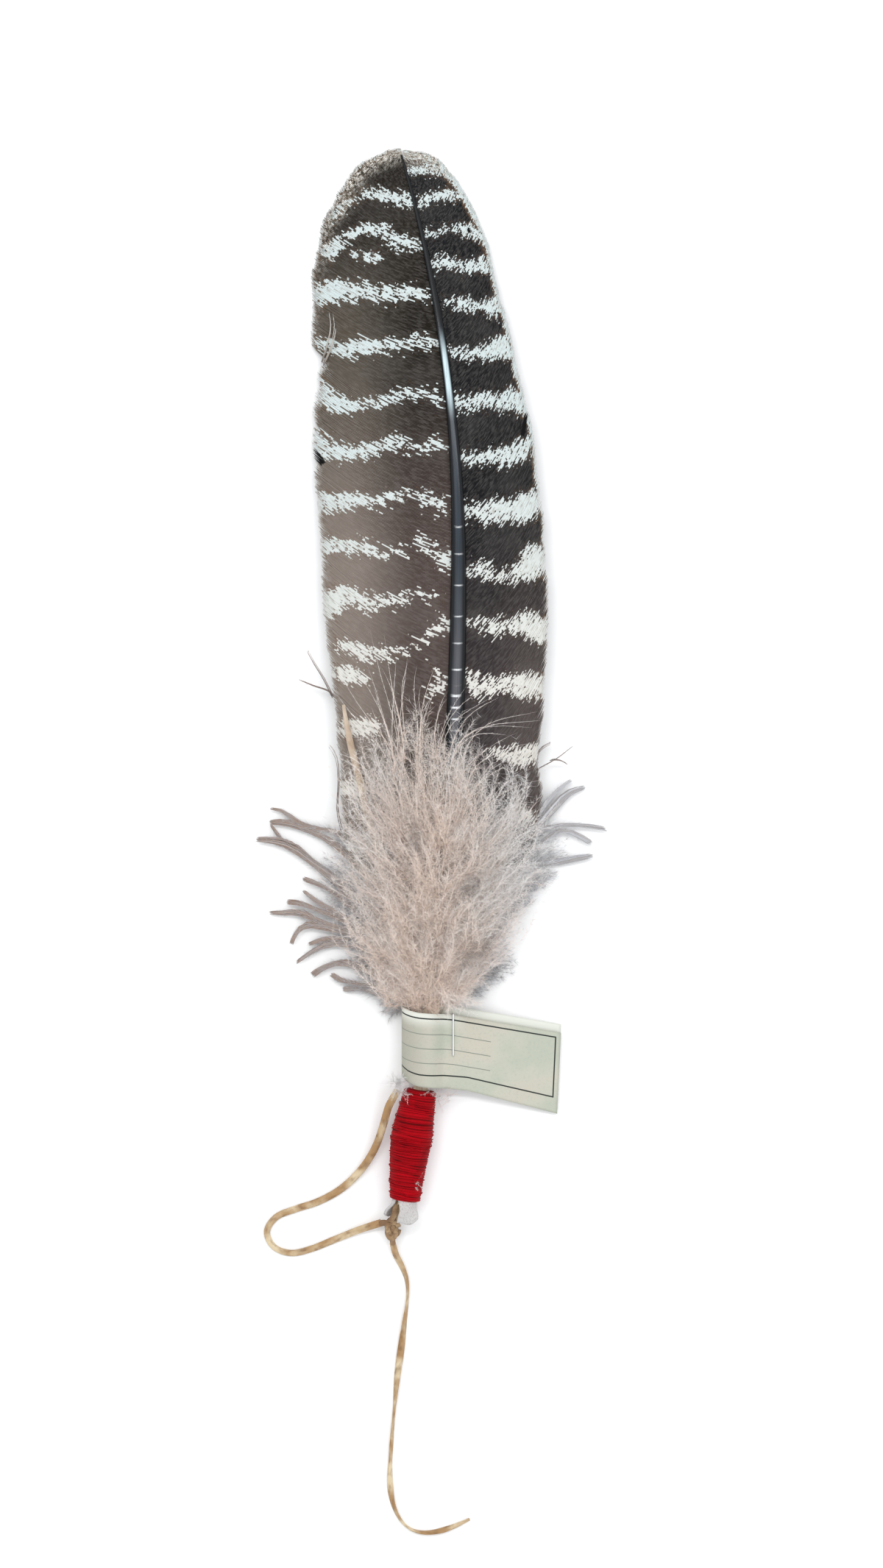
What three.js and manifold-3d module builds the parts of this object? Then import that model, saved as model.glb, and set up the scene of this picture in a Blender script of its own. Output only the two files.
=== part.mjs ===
// A barred turkey wing feather made up as a hand-held fan feather. Its quill sits in a white leather
// sleeve bound with red thread, two plumes of down are tied over and under its base, a folded paper
// tag is stapled round the quill, and a leather lace is hitched through the sleeve's mouth.
// Millimetres, +Z up. It lies face up on a surface at z = 0, its tip towards +Y, its handle towards -Y.
import * as THREE from "three";
import { mergeVertices } from "three/addons/utils/BufferGeometryUtils.js";
import Module from "manifold-3d";

// Lengths along the feather, all as y. In the end the whole part moves by MIDDLE_Y, which puts its
// middle at y = 0.
const MIDDLE_Y = 2.4;
const VANE_TIP_Y = 152.9;
const SHAFT_TIP_Y = 151;
const CREST_Y = 10; // where the shaft stands highest
const WRAP_TOP_Y = -114.6;
const QUILL_END_Y = -147;

// The shaft from above: two parabolas that meet at its sideways apex, then a straight quill
const BOW_APEX = new THREE.Vector2(7.6, 36);
const TIP_BOW = 16.2;
const QUILL_BOW = 15.7;
const QUILL_BOW_Y = -146;

// The shaft from the side
const HANDLE_Z = 5.35;
const CREST_Z = 11.8;
const TIP_Z = 1.1;

// The shaft's half-widths
const QUILL_RADIUS = 2.2;
const RACHIS_TIP_RADIUS = 0.35;
const RACHIS_FLATTENING = 0.85;

const VANE_HALF_THICKNESS = 0.4;
const BARB_BOW = 0.07; // how far a barb bends towards the quill, as a share of its length
const NOTCH = { y: 94.2, depth: 3.2, above: 1.8, below: 6.5 }; // the dent in the wide vane's edge

// The two vanes. width and droop say how far the edge hangs below the shaft, rootY where the lowest
// barb grows, slant how far the barbs lean to the tip, and outline is the edge from base to tip.
const WIDE_VANE = {
  side: -1,
  width: 39,
  droop: 7.4,
  rootY: -70,
  slant: 0.015,
  outline: new THREE.SplineCurve([
    new THREE.Vector2(-24.4, -48),
    new THREE.Vector2(-25.8, -24),
    new THREE.Vector2(-27.9, -1),
    new THREE.Vector2(-30.4, 20),
    new THREE.Vector2(-31.4, 40),
    new THREE.Vector2(-33, 60),
    new THREE.Vector2(-34.2, 80),
    new THREE.Vector2(-34.6, 100),
    new THREE.Vector2(-33.8, 117),
    new THREE.Vector2(-31, 133),
    new THREE.Vector2(-24.4, 144),
    new THREE.Vector2(-16, 150.4),
    new THREE.Vector2(-8.6, VANE_TIP_Y),
  ]),
};
const NARROW_VANE = {
  side: 1,
  width: 25,
  droop: 5,
  rootY: -80,
  slant: 0.035,
  outline: new THREE.SplineCurve([
    new THREE.Vector2(28.8, -46),
    new THREE.Vector2(30.3, -24),
    new THREE.Vector2(31.8, -3),
    new THREE.Vector2(32.7, 19),
    new THREE.Vector2(31.8, 44),
    new THREE.Vector2(29.8, 62),
    new THREE.Vector2(26.6, 80),
    new THREE.Vector2(22.3, 100),
    new THREE.Vector2(17.5, 118),
    new THREE.Vector2(14.2, 132),
    new THREE.Vector2(8.5, 142),
    new THREE.Vector2(2.4, 149.8),
    new THREE.Vector2(-3, 152.2),
    new THREE.Vector2(-8.2, VANE_TIP_Y),
  ]),
};
// Splits between barbs, open at the edge: how far along the barb's roots, how deep and how wide
const SPLITS = [
  { vane: WIDE_VANE, at: 0.676, depth: 0.2, gap: 1.3 },
  { vane: WIDE_VANE, at: 0.545, depth: 0.14, gap: 2 },
  { vane: NARROW_VANE, at: 0.575, depth: 0.22, gap: 1.1 },
];

// The handle, measured along its own axis down from the top of the thread
const THREAD_TURNS = 17;
const THREAD_RIDGE = 0.28;
const THREAD_RADII = new THREE.SplineCurve([
  new THREE.Vector2(4.6, 0),
  new THREE.Vector2(5.3, -6.5),
  new THREE.Vector2(5.9, -12.5),
  new THREE.Vector2(5.6, -18.5),
  new THREE.Vector2(4.95, -25),
  new THREE.Vector2(4.4, -31.6),
]);
const SLEEVE_INSIDE = 2.75;
const SLEEVE_OUTSIDE = 3.55;
const SLEEVE_MOUTH_INSIDE = 3.9;
const SLEEVE_MOUTH_OUTSIDE = 4.8;
const SLEEVE_LENGTH = 38;
const FLARE_START = 32.4;
const HANDLE_SIDES = 16;

// The paper tag, across the quill: a loop round it, pinched by the staple, then two flaps
const TAG = { centerY: -103.3, turn: -9.5, height: 22, taper: 0.09, thickness: 0.4 };
const TAG_LOOP = { left: -7.2, top: 10.6, bottom: 1.5, middle: 6 };
const TAG_PINCH = { across: 5.6, z: 5.5 };
const TAG_FLAP_END = { across: 38.4, z: 0.75 };
const TAG_LAYER_GAP = 0.4;
const TAG_HELIX = 2.4; // the back flap sits this much nearer the tip than the front one
const STAPLE = { crown: 12.6, wire: 0.5, leg: 1.9, clinch: 3.2 };

// The lace
const LACE_WIDTH = 2.4;
const LACE_THICKNESS = 1;

// The down
const DOWN_CLEARANCE = 2.3; // the room that the lace takes between the vane and the down on it
const LOCK_SIDES = 5;
const LOCK_RINGS = 4;

const wasm = await Module();
wasm.setup();

const lerp = THREE.MathUtils.lerp;
const clamp = THREE.MathUtils.clamp;

// The shaft's sideways place and height at a distance along the feather
function shaftX(y) {
  if (y > BOW_APEX.y) {
    return BOW_APEX.x - TIP_BOW * ((y - BOW_APEX.y) / (SHAFT_TIP_Y - BOW_APEX.y)) ** 2;
  }
  const curved = (BOW_APEX.y - Math.max(y, WRAP_TOP_Y)) / (BOW_APEX.y - QUILL_BOW_Y);
  const x = BOW_APEX.x - QUILL_BOW * curved ** 2;
  return y < WRAP_TOP_Y ? x - HANDLE_SLOPE * (WRAP_TOP_Y - y) : x;
}

const HANDLE_SLOPE =
  (2 * QUILL_BOW * (BOW_APEX.y - WRAP_TOP_Y)) / (BOW_APEX.y - QUILL_BOW_Y) ** 2;

function shaftZ(y) {
  if (y < CREST_Y) {
    const rise = THREE.MathUtils.smoothstep(y, WRAP_TOP_Y, CREST_Y);
    return lerp(HANDLE_Z, CREST_Z, rise);
  }
  return CREST_Z - (CREST_Z - TIP_Z) * ((y - CREST_Y) / (VANE_TIP_Y - CREST_Y)) ** 2;
}

function shaftRadius(y) {
  const toTip = clamp((y - CREST_Y) / (SHAFT_TIP_Y - CREST_Y), 0, 1);
  return lerp(QUILL_RADIUS, RACHIS_TIP_RADIUS, toTip ** 0.8);
}

// The height of the vane's middle surface, which falls away from the shaft on both sides
function vaneZ(x, y) {
  const off = x - shaftX(y);
  const vane = off < 0 ? WIDE_VANE : NARROW_VANE;
  return shaftZ(y) - vane.droop * (off / vane.width) ** 2;
}

// Solids by manifold-3d, from closed three.js geometries and back
function solid(geometry) {
  const bare = new THREE.BufferGeometry();
  bare.setAttribute("position", geometry.getAttribute("position"));
  bare.setIndex(geometry.index);
  const merged = mergeVertices(bare, 1e-4);
  return new wasm.Manifold(
    new wasm.Mesh({
      numProp: 3,
      vertProperties: merged.getAttribute("position").array,
      triVerts: new Uint32Array(merged.index.array),
    }),
  );
}

function geometryOf(made) {
  const mesh = made.getMesh();
  const geometry = new THREE.BufferGeometry();
  geometry.setAttribute("position", new THREE.BufferAttribute(mesh.vertProperties, 3));
  geometry.setIndex(new THREE.BufferAttribute(mesh.triVerts, 1));
  geometry.computeVertexNormals();
  return geometry;
}

// Moves each vertex of a ready-made closed geometry to where place() puts it
function bend(geometry, place) {
  const at = geometry.getAttribute("position");
  const point = new THREE.Vector3();
  for (let i = 0; i < at.count; i += 1) {
    place(point.fromBufferAttribute(at, i));
    at.setXYZ(i, point.x, point.y, point.z);
  }
  return geometry;
}

function mesh(name, geometry, color, roughness) {
  const made = new THREE.Mesh(
    geometry,
    new THREE.MeshStandardMaterial({ color, roughness, metalness: 0 }),
  );
  made.name = name;
  return made;
}

// A point of a vane: root says which barb, from 0 at the base to 1 at the tip, and out how far along
function barbPoint(vane, root, out) {
  const rootY = lerp(vane.rootY, SHAFT_TIP_Y, root);
  const start = new THREE.Vector2(shaftX(rootY), rootY);
  const edge = vane.outline.getPointAt(clamp(root + vane.slant * Math.sin(Math.PI * root), 0, 1));
  if (vane === WIDE_VANE) {
    const reach = edge.y > NOTCH.y ? NOTCH.above : NOTCH.below;
    edge.x += NOTCH.depth * Math.exp(-(((edge.y - NOTCH.y) / reach) ** 2));
  }
  const chord = edge.clone().sub(start);
  const bow = 4 * out * (1 - out) * BARB_BOW;
  return start
    .addScaledVector(chord, out)
    .add(new THREE.Vector2(chord.y * vane.side, -chord.x * vane.side).multiplyScalar(bow));
}

// One vane as a thin bent box. It starts inside the shaft, and its last barbs close the tip.
function vaneSolid(vane) {
  const barbs = 30;
  const along = 5;
  const lastRoot = 0.995;
  const box = new THREE.BoxGeometry(1, 1, 2, along, barbs, 1);
  return solid(
    bend(box, (p) => {
      const out = vane.side > 0 ? p.x + 0.5 : 0.5 - p.x;
      const place = barbPoint(vane, (p.y + 0.5) * lastRoot, out);
      const overlap = out === 0 ? 0.5 * shaftRadius(place.y) : 0;
      const face = p.z;
      p.set(place.x - vane.side * overlap, place.y, 0);
      p.z = vaneZ(p.x, p.y) + face * VANE_HALF_THICKNESS;
    }),
  );
}

// A wedge that opens a split between two barbs, wide at the edge
function splitWedge({ vane, at, depth, gap }) {
  const box = new THREE.BoxGeometry(1, 1, 1, 3, 1, 1);
  return solid(
    bend(box, (p) => {
      const out = 1 - depth + depth * 1.25 * (vane.side > 0 ? p.x + 0.5 : 0.5 - p.x);
      const place = barbPoint(vane, at, out);
      const open = gap * Math.max((out - 1 + depth) / depth, 0.02);
      p.set(place.x, place.y + p.y * open, vaneZ(place.x, place.y) + p.z * 6);
    }),
  );
}

// The shaft from the end of the quill to the tip, as a bent cylinder
function shaftSolid() {
  const round = new THREE.CylinderGeometry(1, 1, 1, 8, 32);
  return solid(
    bend(round, (p) => {
      const y = lerp(QUILL_END_Y, SHAFT_TIP_Y, p.y + 0.5);
      const radius = shaftRadius(y);
      p.set(shaftX(y) + p.x * radius, y, shaftZ(y) + p.z * radius * RACHIS_FLATTENING);
    }),
  );
}

function featherMesh() {
  let feather = shaftSolid().add(vaneSolid(WIDE_VANE)).add(vaneSolid(NARROW_VANE));
  for (const split of SPLITS) feather = feather.subtract(splitWedge(split));
  return mesh("turkey_feather", geometryOf(feather), "#574f4a", 0.6);
}

// The red thread, wound in ridges on the sleeve: a lathed tube whose outside follows the spindle.
// Its soft underside is pressed flat where the handle rests on the surface.
function threadWrapMesh() {
  const inside = SLEEVE_OUTSIDE + 0.5;
  const profile = [];
  for (let i = 0; i <= 2 * THREAD_TURNS; i += 1) {
    const at = THREAD_RADII.getPointAt(i / (2 * THREAD_TURNS));
    profile.push(new THREE.Vector2(at.x - (i % 2 ? 0 : THREAD_RIDGE), at.y));
  }
  const bottom = profile[profile.length - 1].y;
  profile.push(new THREE.Vector2(inside, bottom));
  profile.push(new THREE.Vector2(inside, 0));
  profile.push(profile[0].clone());
  const turned = new THREE.LatheGeometry(profile.reverse(), HANDLE_SIDES, Math.PI / HANDLE_SIDES);
  const pressed = solid(turned).trimByPlane([0, 0, 1], -HANDLE_Z);
  return mesh("thread_wrap", geometryOf(pressed), "#b4101c", 0.75);
}

// The white leather sleeve: a tube under the thread that flares at its open mouth, with a slit there
function leatherSleeveMesh() {
  const profile = [
    new THREE.Vector2(SLEEVE_INSIDE, -0.6),
    new THREE.Vector2(SLEEVE_INSIDE, -FLARE_START),
    new THREE.Vector2(SLEEVE_MOUTH_INSIDE, 1.5 - SLEEVE_LENGTH),
    new THREE.Vector2(SLEEVE_MOUTH_INSIDE, -SLEEVE_LENGTH),
    new THREE.Vector2(SLEEVE_MOUTH_OUTSIDE, 0.6 - SLEEVE_LENGTH),
    new THREE.Vector2(SLEEVE_MOUTH_OUTSIDE - 0.4, 3 - SLEEVE_LENGTH),
    new THREE.Vector2(SLEEVE_OUTSIDE, -FLARE_START),
    new THREE.Vector2(SLEEVE_OUTSIDE, -0.6),
    new THREE.Vector2(SLEEVE_INSIDE, -0.6),
  ];
  const tube = solid(new THREE.LatheGeometry(profile, HANDLE_SIDES));
  const slit = new THREE.CylinderGeometry(0.15, 2.2, 6.5, 3, 1);
  slit.rotateY(Math.PI);
  slit.scale(1, 1, 3);
  slit.translate(-2.1, 2.2 - SLEEVE_LENGTH, 5.5);
  return mesh("leather_sleeve", geometryOf(tube.subtract(solid(slit))), "#dcdad6", 0.9);
}

// The thread and the sleeve stand on one axis, in line with the quill
function handleGroup() {
  const handle = new THREE.Group();
  handle.position.set(shaftX(WRAP_TOP_Y), WRAP_TOP_Y, HANDLE_Z);
  handle.rotation.z = -Math.atan(HANDLE_SLOPE);
  handle.add(threadWrapMesh(), leatherSleeveMesh());
  return handle;
}

// The paper strip's line across the quill, from the front flap's end round the loop to the back's
function tagLine() {
  const half = (TAG_LAYER_GAP + TAG.thickness) / 2;
  const loop = TAG_LOOP;
  const line = new THREE.CurvePath();
  const at = (x, y) => new THREE.Vector2(x, y);
  const front = at(TAG_PINCH.across, TAG_PINCH.z + half);
  const back = at(TAG_PINCH.across, TAG_PINCH.z - half);
  const crown = at(-0.5, loop.top);
  const floor = at(-0.5, loop.bottom);
  const left = at(loop.left, loop.middle);
  line.add(new THREE.LineCurve(at(TAG_FLAP_END.across, TAG_FLAP_END.z + 2 * half), front));
  line.add(new THREE.CubicBezierCurve(front, at(3.6, 6.6), at(2.6, loop.top), crown));
  line.add(new THREE.CubicBezierCurve(crown, at(-3.8, loop.top), at(loop.left, 8.6), left));
  line.add(new THREE.CubicBezierCurve(left, at(loop.left, 3.2), at(-3.8, loop.bottom), floor));
  line.add(new THREE.CubicBezierCurve(floor, at(2.6, loop.bottom), at(3.6, 4.4), back));
  line.add(new THREE.LineCurve(back, at(TAG_FLAP_END.across, TAG_FLAP_END.z)));
  return line;
}

// The paper tag: its line given a thickness, extruded along the quill, tapered and slightly wound
function tagGeometry() {
  const line = tagLine();
  const flapSteps = 2;
  const loopSteps = 5;
  const middle = [];
  for (const curve of line.curves) {
    const steps = curve instanceof THREE.LineCurve ? flapSteps : loopSteps;
    for (let i = middle.length ? 1 : 0; i <= steps; i += 1) {
      const tangent = curve.getTangent(i / steps);
      middle.push({ at: curve.getPoint(i / steps), out: new THREE.Vector2(tangent.y, -tangent.x) });
    }
  }
  const wall = (side) =>
    middle.map((m) => m.at.clone().addScaledVector(m.out, (side * TAG.thickness) / 2));
  const outline = new THREE.Shape([...wall(1), ...wall(-1).reverse()]);
  const strip = new THREE.ExtrudeGeometry(outline, { depth: 1, steps: 1, bevelEnabled: false });
  return bend(strip, (p) => {
    const across = p.x;
    const z = p.y;
    const toEnd = clamp(across / TAG_FLAP_END.across, -0.2, 1);
    const pinch = lerp(TAG_PINCH.z, TAG_FLAP_END.z + 0.4, Math.max(toEnd, 0));
    const wound = clamp((pinch - z) * 2, -1, 1) * Math.min(1, 0.15 + Math.max(toEnd, 0));
    const width = TAG.height * (1 + TAG.taper * (toEnd - 0.5));
    p.set(across, (0.5 - p.z) * width + (TAG_HELIX / 2) * wound, z);
  });
}

// The staple: a closed outline of crown, legs and clinched ends, one wire thick
function stapleGeometry() {
  const { crown, wire, leg, clinch } = STAPLE;
  const half = crown / 2;
  const outline = new THREE.Shape();
  outline.moveTo(-half, wire);
  outline.lineTo(half, wire);
  outline.lineTo(half, -leg - wire);
  outline.lineTo(half - clinch, -leg - wire);
  outline.lineTo(half - clinch, -leg);
  outline.lineTo(half - wire, -leg);
  outline.lineTo(half - wire, 0);
  outline.lineTo(wire - half, 0);
  outline.lineTo(wire - half, -leg);
  outline.lineTo(clinch - half, -leg);
  outline.lineTo(clinch - half, -leg - wire);
  outline.lineTo(-half, -leg - wire);
  const bar = new THREE.ExtrudeGeometry(outline, { depth: wire, bevelEnabled: false });
  bar.translate(0, 0, -wire / 2);
  bar.rotateX(Math.PI / 2); // the crown lies along x, and the legs go down
  bar.rotateZ(Math.PI / 2);
  return bar;
}

// The tag with its staple. The staple's legs pass through holes that leave them clear.
function tagGroup() {
  const group = new THREE.Group();
  group.position.set(shaftX(TAG.centerY), TAG.centerY, 0);
  group.rotation.z = THREE.MathUtils.degToRad(TAG.turn);
  const place = new THREE.Vector3(TAG_PINCH.across + 0.9, 1.2, TAG_PINCH.z + 0.9);
  const staple = mesh("staple", stapleGeometry(), "#b9bcc0", 0.35);
  staple.material.metalness = 1;
  staple.position.copy(place);
  let paper = solid(tagGeometry());
  for (const end of [-1, 1]) {
    const hole = new THREE.BoxGeometry(1.1, 1.1, 6);
    const offset = (STAPLE.crown - STAPLE.wire) / 2;
    hole.translate(place.x, place.y + end * offset, place.z);
    paper = paper.subtract(solid(hole));
  }
  group.add(mesh("paper_tag", geometryOf(paper), "#d9dccb", 0.8), staple);
  return group;
}

// The lace's routes. The tail leaves the knot and lies on the surface. The hang loop leaves it on the
// other side, comes back up beside the thread, and its end runs through the tag and along the vane.
const LACE_TAIL_ROUTE = [
  [-11.1, -158.3, 2.9],
  [-10.2, -161.8, 1.7],
  [-8.4, -165.6, 0.9],
  [-7.1, -169.4, 0.6],
  [-6.9, -174.6, 0.6],
  [-7.8, -181.7, 0.6],
  [-8.7, -188.8, 0.6],
  [-9.7, -195.8, 0.6],
  [-10.4, -202.9, 0.6],
  [-11, -210, 0.6],
  [-11.6, -218, 0.6],
  [-11.9, -225.4, 0.6],
  [-11.3, -231.8, 0.6],
  [-9.4, -236.8, 0.6],
  [-6.4, -240, 0.6],
  [-2.4, -241.2, 0.6],
  [2, -240.8, 0.6],
  [6.4, -239.4, 0.6],
  [10.8, -237.4, 0.6],
];
const LACE_LOOP_ROUTE = [
  [-14.3, -152.6, 3.2],
  [-17.2, -153.6, 2.3],
  [-21.5, -155.2, 1.3],
  [-28, -157.9, 0.6],
  [-34, -160.3, 0.6],
  [-40, -161.6, 0.6],
  [-45, -159.8, 0.6],
  [-46.9, -155.4, 0.6],
  [-44.2, -151.3, 0.6],
  [-38.6, -149, 0.6],
  [-32, -146.8, 0.6],
  [-25.4, -143, 0.8],
  [-19.8, -137.4, 1.6],
  [-16, -131.2, 3],
  [-13.8, -125, 4.6],
  [-12.1, -119.2, 6],
  [-9.6, -114.6, 6.8],
];
// The end that lies on the wide vane, whose heights follow the vane
const LACE_END_ROUTE = [
  [-6.6, -111],
  [-5.4, -104],
  [-4.8, -97],
  [-4.9, -90],
  [-7.8, -78],
  [-12.2, -60],
  [-15.6, -46],
  [-18.3, -36],
  [-20.4, -26.5],
  [-22.6, -18],
  [-23.9, -11.7],
  [-24.9, -5.6],
];

function laceMesh(name, route) {
  const points = route.map(([x, y, z]) => new THREE.Vector3(x, y, z ?? vaneZ(x, y) + 1.4));
  const curve = new THREE.CatmullRomCurve3(points);
  const section = new THREE.Shape();
  section.absellipse(0, 0, LACE_WIDTH / 2, LACE_THICKNESS / 2, 0, 2 * Math.PI);
  const corners = section.getSpacedPoints(8).slice(0, 8);
  const steps = Math.ceil(curve.getLength() / 5);
  const flat = new THREE.CatmullRomCurve3(points);
  // The band keeps its flat side up: the section's width stays level along the whole route
  flat.computeFrenetFrames = (count, closed) => {
    const frames = THREE.Curve.prototype.computeFrenetFrames.call(curve, count, closed);
    const up = new THREE.Vector3(0, 0, 1);
    frames.tangents.forEach((tangent, i) => {
      frames.normals[i].crossVectors(up, tangent).normalize();
      frames.binormals[i].crossVectors(tangent, frames.normals[i]);
    });
    return frames;
  };
  const tube = new THREE.ExtrudeGeometry(new THREE.Shape(corners), {
    steps,
    extrudePath: flat,
    bevelEnabled: false,
  });
  return mesh(name, tube, "#a98a63", 0.8);
}

// The hitch that holds the lace in the sleeve's mouth: a drawn-out ring of the same lace
function laceKnotMesh() {
  const ring = new THREE.TorusGeometry(1.75, 0.85, 6, 12);
  ring.scale(0.85, 1.1, 1.1);
  ring.rotateZ(0.12);
  ring.translate(-11.3, -154.9, 3.6);
  return mesh("lace_knot", ring, "#8d6d47", 0.8);
}

// A repeatable spread of numbers from 0 to 1, one for each lock and use
function scatter(index, use) {
  const wave = Math.sin(index * 12.9898 + use * 78.233) * 43758.5453;
  return wave - Math.floor(wave);
}

// One lock of down: a flattened spindle along a bent line from its root to its tip
function lockSolid({ root, bendTo, tip, width, thickness }) {
  const line = new THREE.QuadraticBezierCurve3(root, bendTo, tip);
  const spindle = new THREE.CylinderGeometry(1, 1, 1, LOCK_SIDES, LOCK_RINGS);
  const up = new THREE.Vector3(0, 0, 1);
  return solid(
    bend(spindle, (p) => {
      const along = p.y + 0.5;
      const at = line.getPoint(along);
      const across = line.getTangent(along).cross(up).normalize();
      const swell = lerp(0.55, 0.2, along ** 1.5) + 0.45 * Math.sin(Math.PI * along ** 0.9);
      const side = p.x * width * swell;
      const rise = p.z * thickness * swell;
      p.copy(at).addScaledVector(across, side);
      p.z += rise;
    }),
  );
}

function plumeMesh(name, locks, color) {
  const joined = locks.map(lockSolid).reduce((whole, lock) => whole.add(lock));
  return mesh(name, geometryOf(joined), color, 0.95);
}

// The plume on the feather's face. Its locks fan out of a short shaft that stands on the quill.
const FRONT_PLUME = { x: 0.6, y: -47.7, wide: 28.5, long: 60, locks: 34, spread: 128 };

function frontLocks() {
  const fan = FRONT_PLUME;
  const baseY = -90.2;
  const locks = [
    {
      root: new THREE.Vector3(shaftX(baseY) - 0.3, baseY, 9.9),
      bendTo: new THREE.Vector3(0.6, -64, 20),
      tip: new THREE.Vector3(0.8, -12, 18),
      width: 10,
      thickness: 3.4,
    },
  ];
  for (let i = 0; i < fan.locks; i += 1) {
    const share = (i + 0.5) / fan.locks;
    const angle = THREE.MathUtils.degToRad(lerp(-fan.spread, fan.spread, share));
    const reach = 0.84 + 0.16 * scatter(i, 1);
    const tipX = fan.x + fan.wide * reach * Math.sin(angle);
    const tipY = fan.y + fan.long * reach * Math.cos(angle) * (Math.cos(angle) < 0 ? 0.55 : 1);
    const rootY = lerp(-84, -42, Math.cos(angle / 2) ** 2);
    const root = new THREE.Vector3(shaftX(rootY), rootY, shaftZ(rootY) + 8.2);
    const ground = Math.max(vaneZ(tipX, tipY), 3);
    const tip = new THREE.Vector3(tipX, tipY, ground + DOWN_CLEARANCE + 1.4 + 2 * scatter(i, 2));
    const bendTo = root.clone().lerp(tip, 0.5);
    bendTo.x = lerp(root.x, tip.x, 0.38);
    bendTo.y += 5;
    bendTo.z = Math.max(root.z, tip.z) + 3 + 3 * scatter(i, 3);
    locks.push({ root, bendTo, tip, width: 3.7 + 1.5 * scatter(i, 4), thickness: 1.5 });
  }
  return locks;
}

// The plume under the feather, whose locks show on both sides of the vane. Each is given by its tip.
const BACK_TIPS = [
  [-46.5, -34.8],
  [-45.4, -39.6],
  [-50.3, -43.8],
  [-36.7, -54.8],
  [-36.5, -60.6],
  [-41.7, -61.7],
  [-46.8, -64.6],
  [-40.4, -74.2],
  [-35.6, -73.5],
  [-39, -79.6],
  [-34.2, -82.9],
  [-28.8, -82.3],
  [-25.4, -86.7],
  [-14.5, -92.5],
  [40.2, -26.9],
  [44, -30.2],
  [50.3, -41],
  [45.6, -44.8],
  [46.5, -49.3],
  [31.9, -59.2],
  [22.9, -68],
  [23.3, -82.3],
  [14.2, -88.4],
];

function backLocks() {
  const baseY = -88.2;
  const middleZ = 2.7;
  const locks = [
    {
      root: new THREE.Vector3(shaftX(baseY), baseY, 2.5),
      bendTo: new THREE.Vector3(1, -76, middleZ),
      tip: new THREE.Vector3(2, -50, 3.2),
      width: 9,
      thickness: 1.3,
    },
  ];
  BACK_TIPS.forEach(([x, y], i) => {
    const rootY = Math.max(-86, -92 + 0.45 * (y + 95));
    const root = new THREE.Vector3(shaftX(rootY), rootY, middleZ);
    const tip = new THREE.Vector3(x, y, 1.6 + 3.4 * scatter(i, 5));
    const bendTo = new THREE.Vector3(lerp(root.x, x, 0.5), lerp(rootY, y, 0.62), middleZ - 0.2);
    const width = 2 + 1.2 * scatter(i, 6);
    locks.push({ root, bendTo, tip, width, thickness: 1.1 });
  });
  return locks;
}

const part = new THREE.Group();
part.position.y = MIDDLE_Y;
part.add(
  featherMesh(),
  plumeMesh("fluff_front", frontLocks(), "#c9b4a6"),
  plumeMesh("fluff_back", backLocks(), "#a79a92"),
  handleGroup(),
  tagGroup(),
  laceKnotMesh(),
  laceMesh("lace_tail", LACE_TAIL_ROUTE),
  laceMesh("lace_loop", LACE_LOOP_ROUTE),
  laceMesh("lace_end", LACE_END_ROUTE),
);

export default part;
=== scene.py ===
"""A barred turkey wing feather made up as a hand-held fan feather, lying face up on a pale surface.

The sizes below are millimetres in the frame of the part's source, before its last move along y. Unit.place
turns them into metres in the row frame.
"""

import logging
import math
from dataclasses import dataclass
from enum import Enum
from typing import Callable, Sequence

import bmesh
import bpy
import numpy as np
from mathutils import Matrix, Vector


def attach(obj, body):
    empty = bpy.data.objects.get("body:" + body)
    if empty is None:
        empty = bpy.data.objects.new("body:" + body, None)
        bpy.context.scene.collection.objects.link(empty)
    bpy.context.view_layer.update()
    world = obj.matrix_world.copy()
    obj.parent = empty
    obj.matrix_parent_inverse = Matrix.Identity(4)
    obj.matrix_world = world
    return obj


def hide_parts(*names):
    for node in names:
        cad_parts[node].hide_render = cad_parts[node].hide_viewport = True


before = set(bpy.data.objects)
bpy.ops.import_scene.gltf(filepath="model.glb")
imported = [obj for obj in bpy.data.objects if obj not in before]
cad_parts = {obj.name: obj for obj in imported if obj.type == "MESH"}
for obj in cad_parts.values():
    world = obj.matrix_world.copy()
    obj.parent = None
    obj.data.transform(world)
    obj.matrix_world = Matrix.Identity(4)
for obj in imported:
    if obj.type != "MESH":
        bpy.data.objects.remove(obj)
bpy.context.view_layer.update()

LOG = logging.getLogger("feather")
BODY = "root"

Floats = np.ndarray
Place = Callable[[Floats, Floats], Floats]
Rng = np.random.Generator
Piece = bpy.types.Object
WorkMesh = bmesh.types.BMesh
Material = bpy.types.Material
Socket = bpy.types.NodeSocket
Colour = tuple[float, float, float]
Spot = tuple[float, float]
Bar = tuple[tuple[float, float, float], ...]


class Unit:
    """The step from the source's millimetres to the row frame's metres."""

    MM = 0.001
    MIDDLE_Y = 2.4

    @classmethod
    def place(cls, points: Floats) -> Floats:
        """Moves points from source millimetres to row-frame metres.

        Args:
            points: An array whose last axis is x, y, z in millimetres.

        Returns:
            The same points in metres.
        """
        return (np.asarray(points, float) + (0.0, cls.MIDDLE_Y, 0.0)) * cls.MM


def smoothstep(low: float, high: float, value: Floats) -> Floats:
    """Rises smoothly from 0 at low to 1 at high."""
    share = np.clip((np.asarray(value, float) - low) / (high - low), 0.0, 1.0)
    return share * share * (3.0 - 2.0 * share)


def unit(vectors: Floats) -> Floats:
    """Gives vectors a length of 1."""
    return vectors / np.maximum(np.linalg.norm(vectors, axis=-1, keepdims=True), 1e-6)


def read_at(points: Floats, steps: Floats, at: Floats) -> Floats:
    """Reads a line, whose points lie at rising steps, at other places."""
    return np.column_stack([np.interp(at, steps, axis) for axis in points.T])


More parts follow.
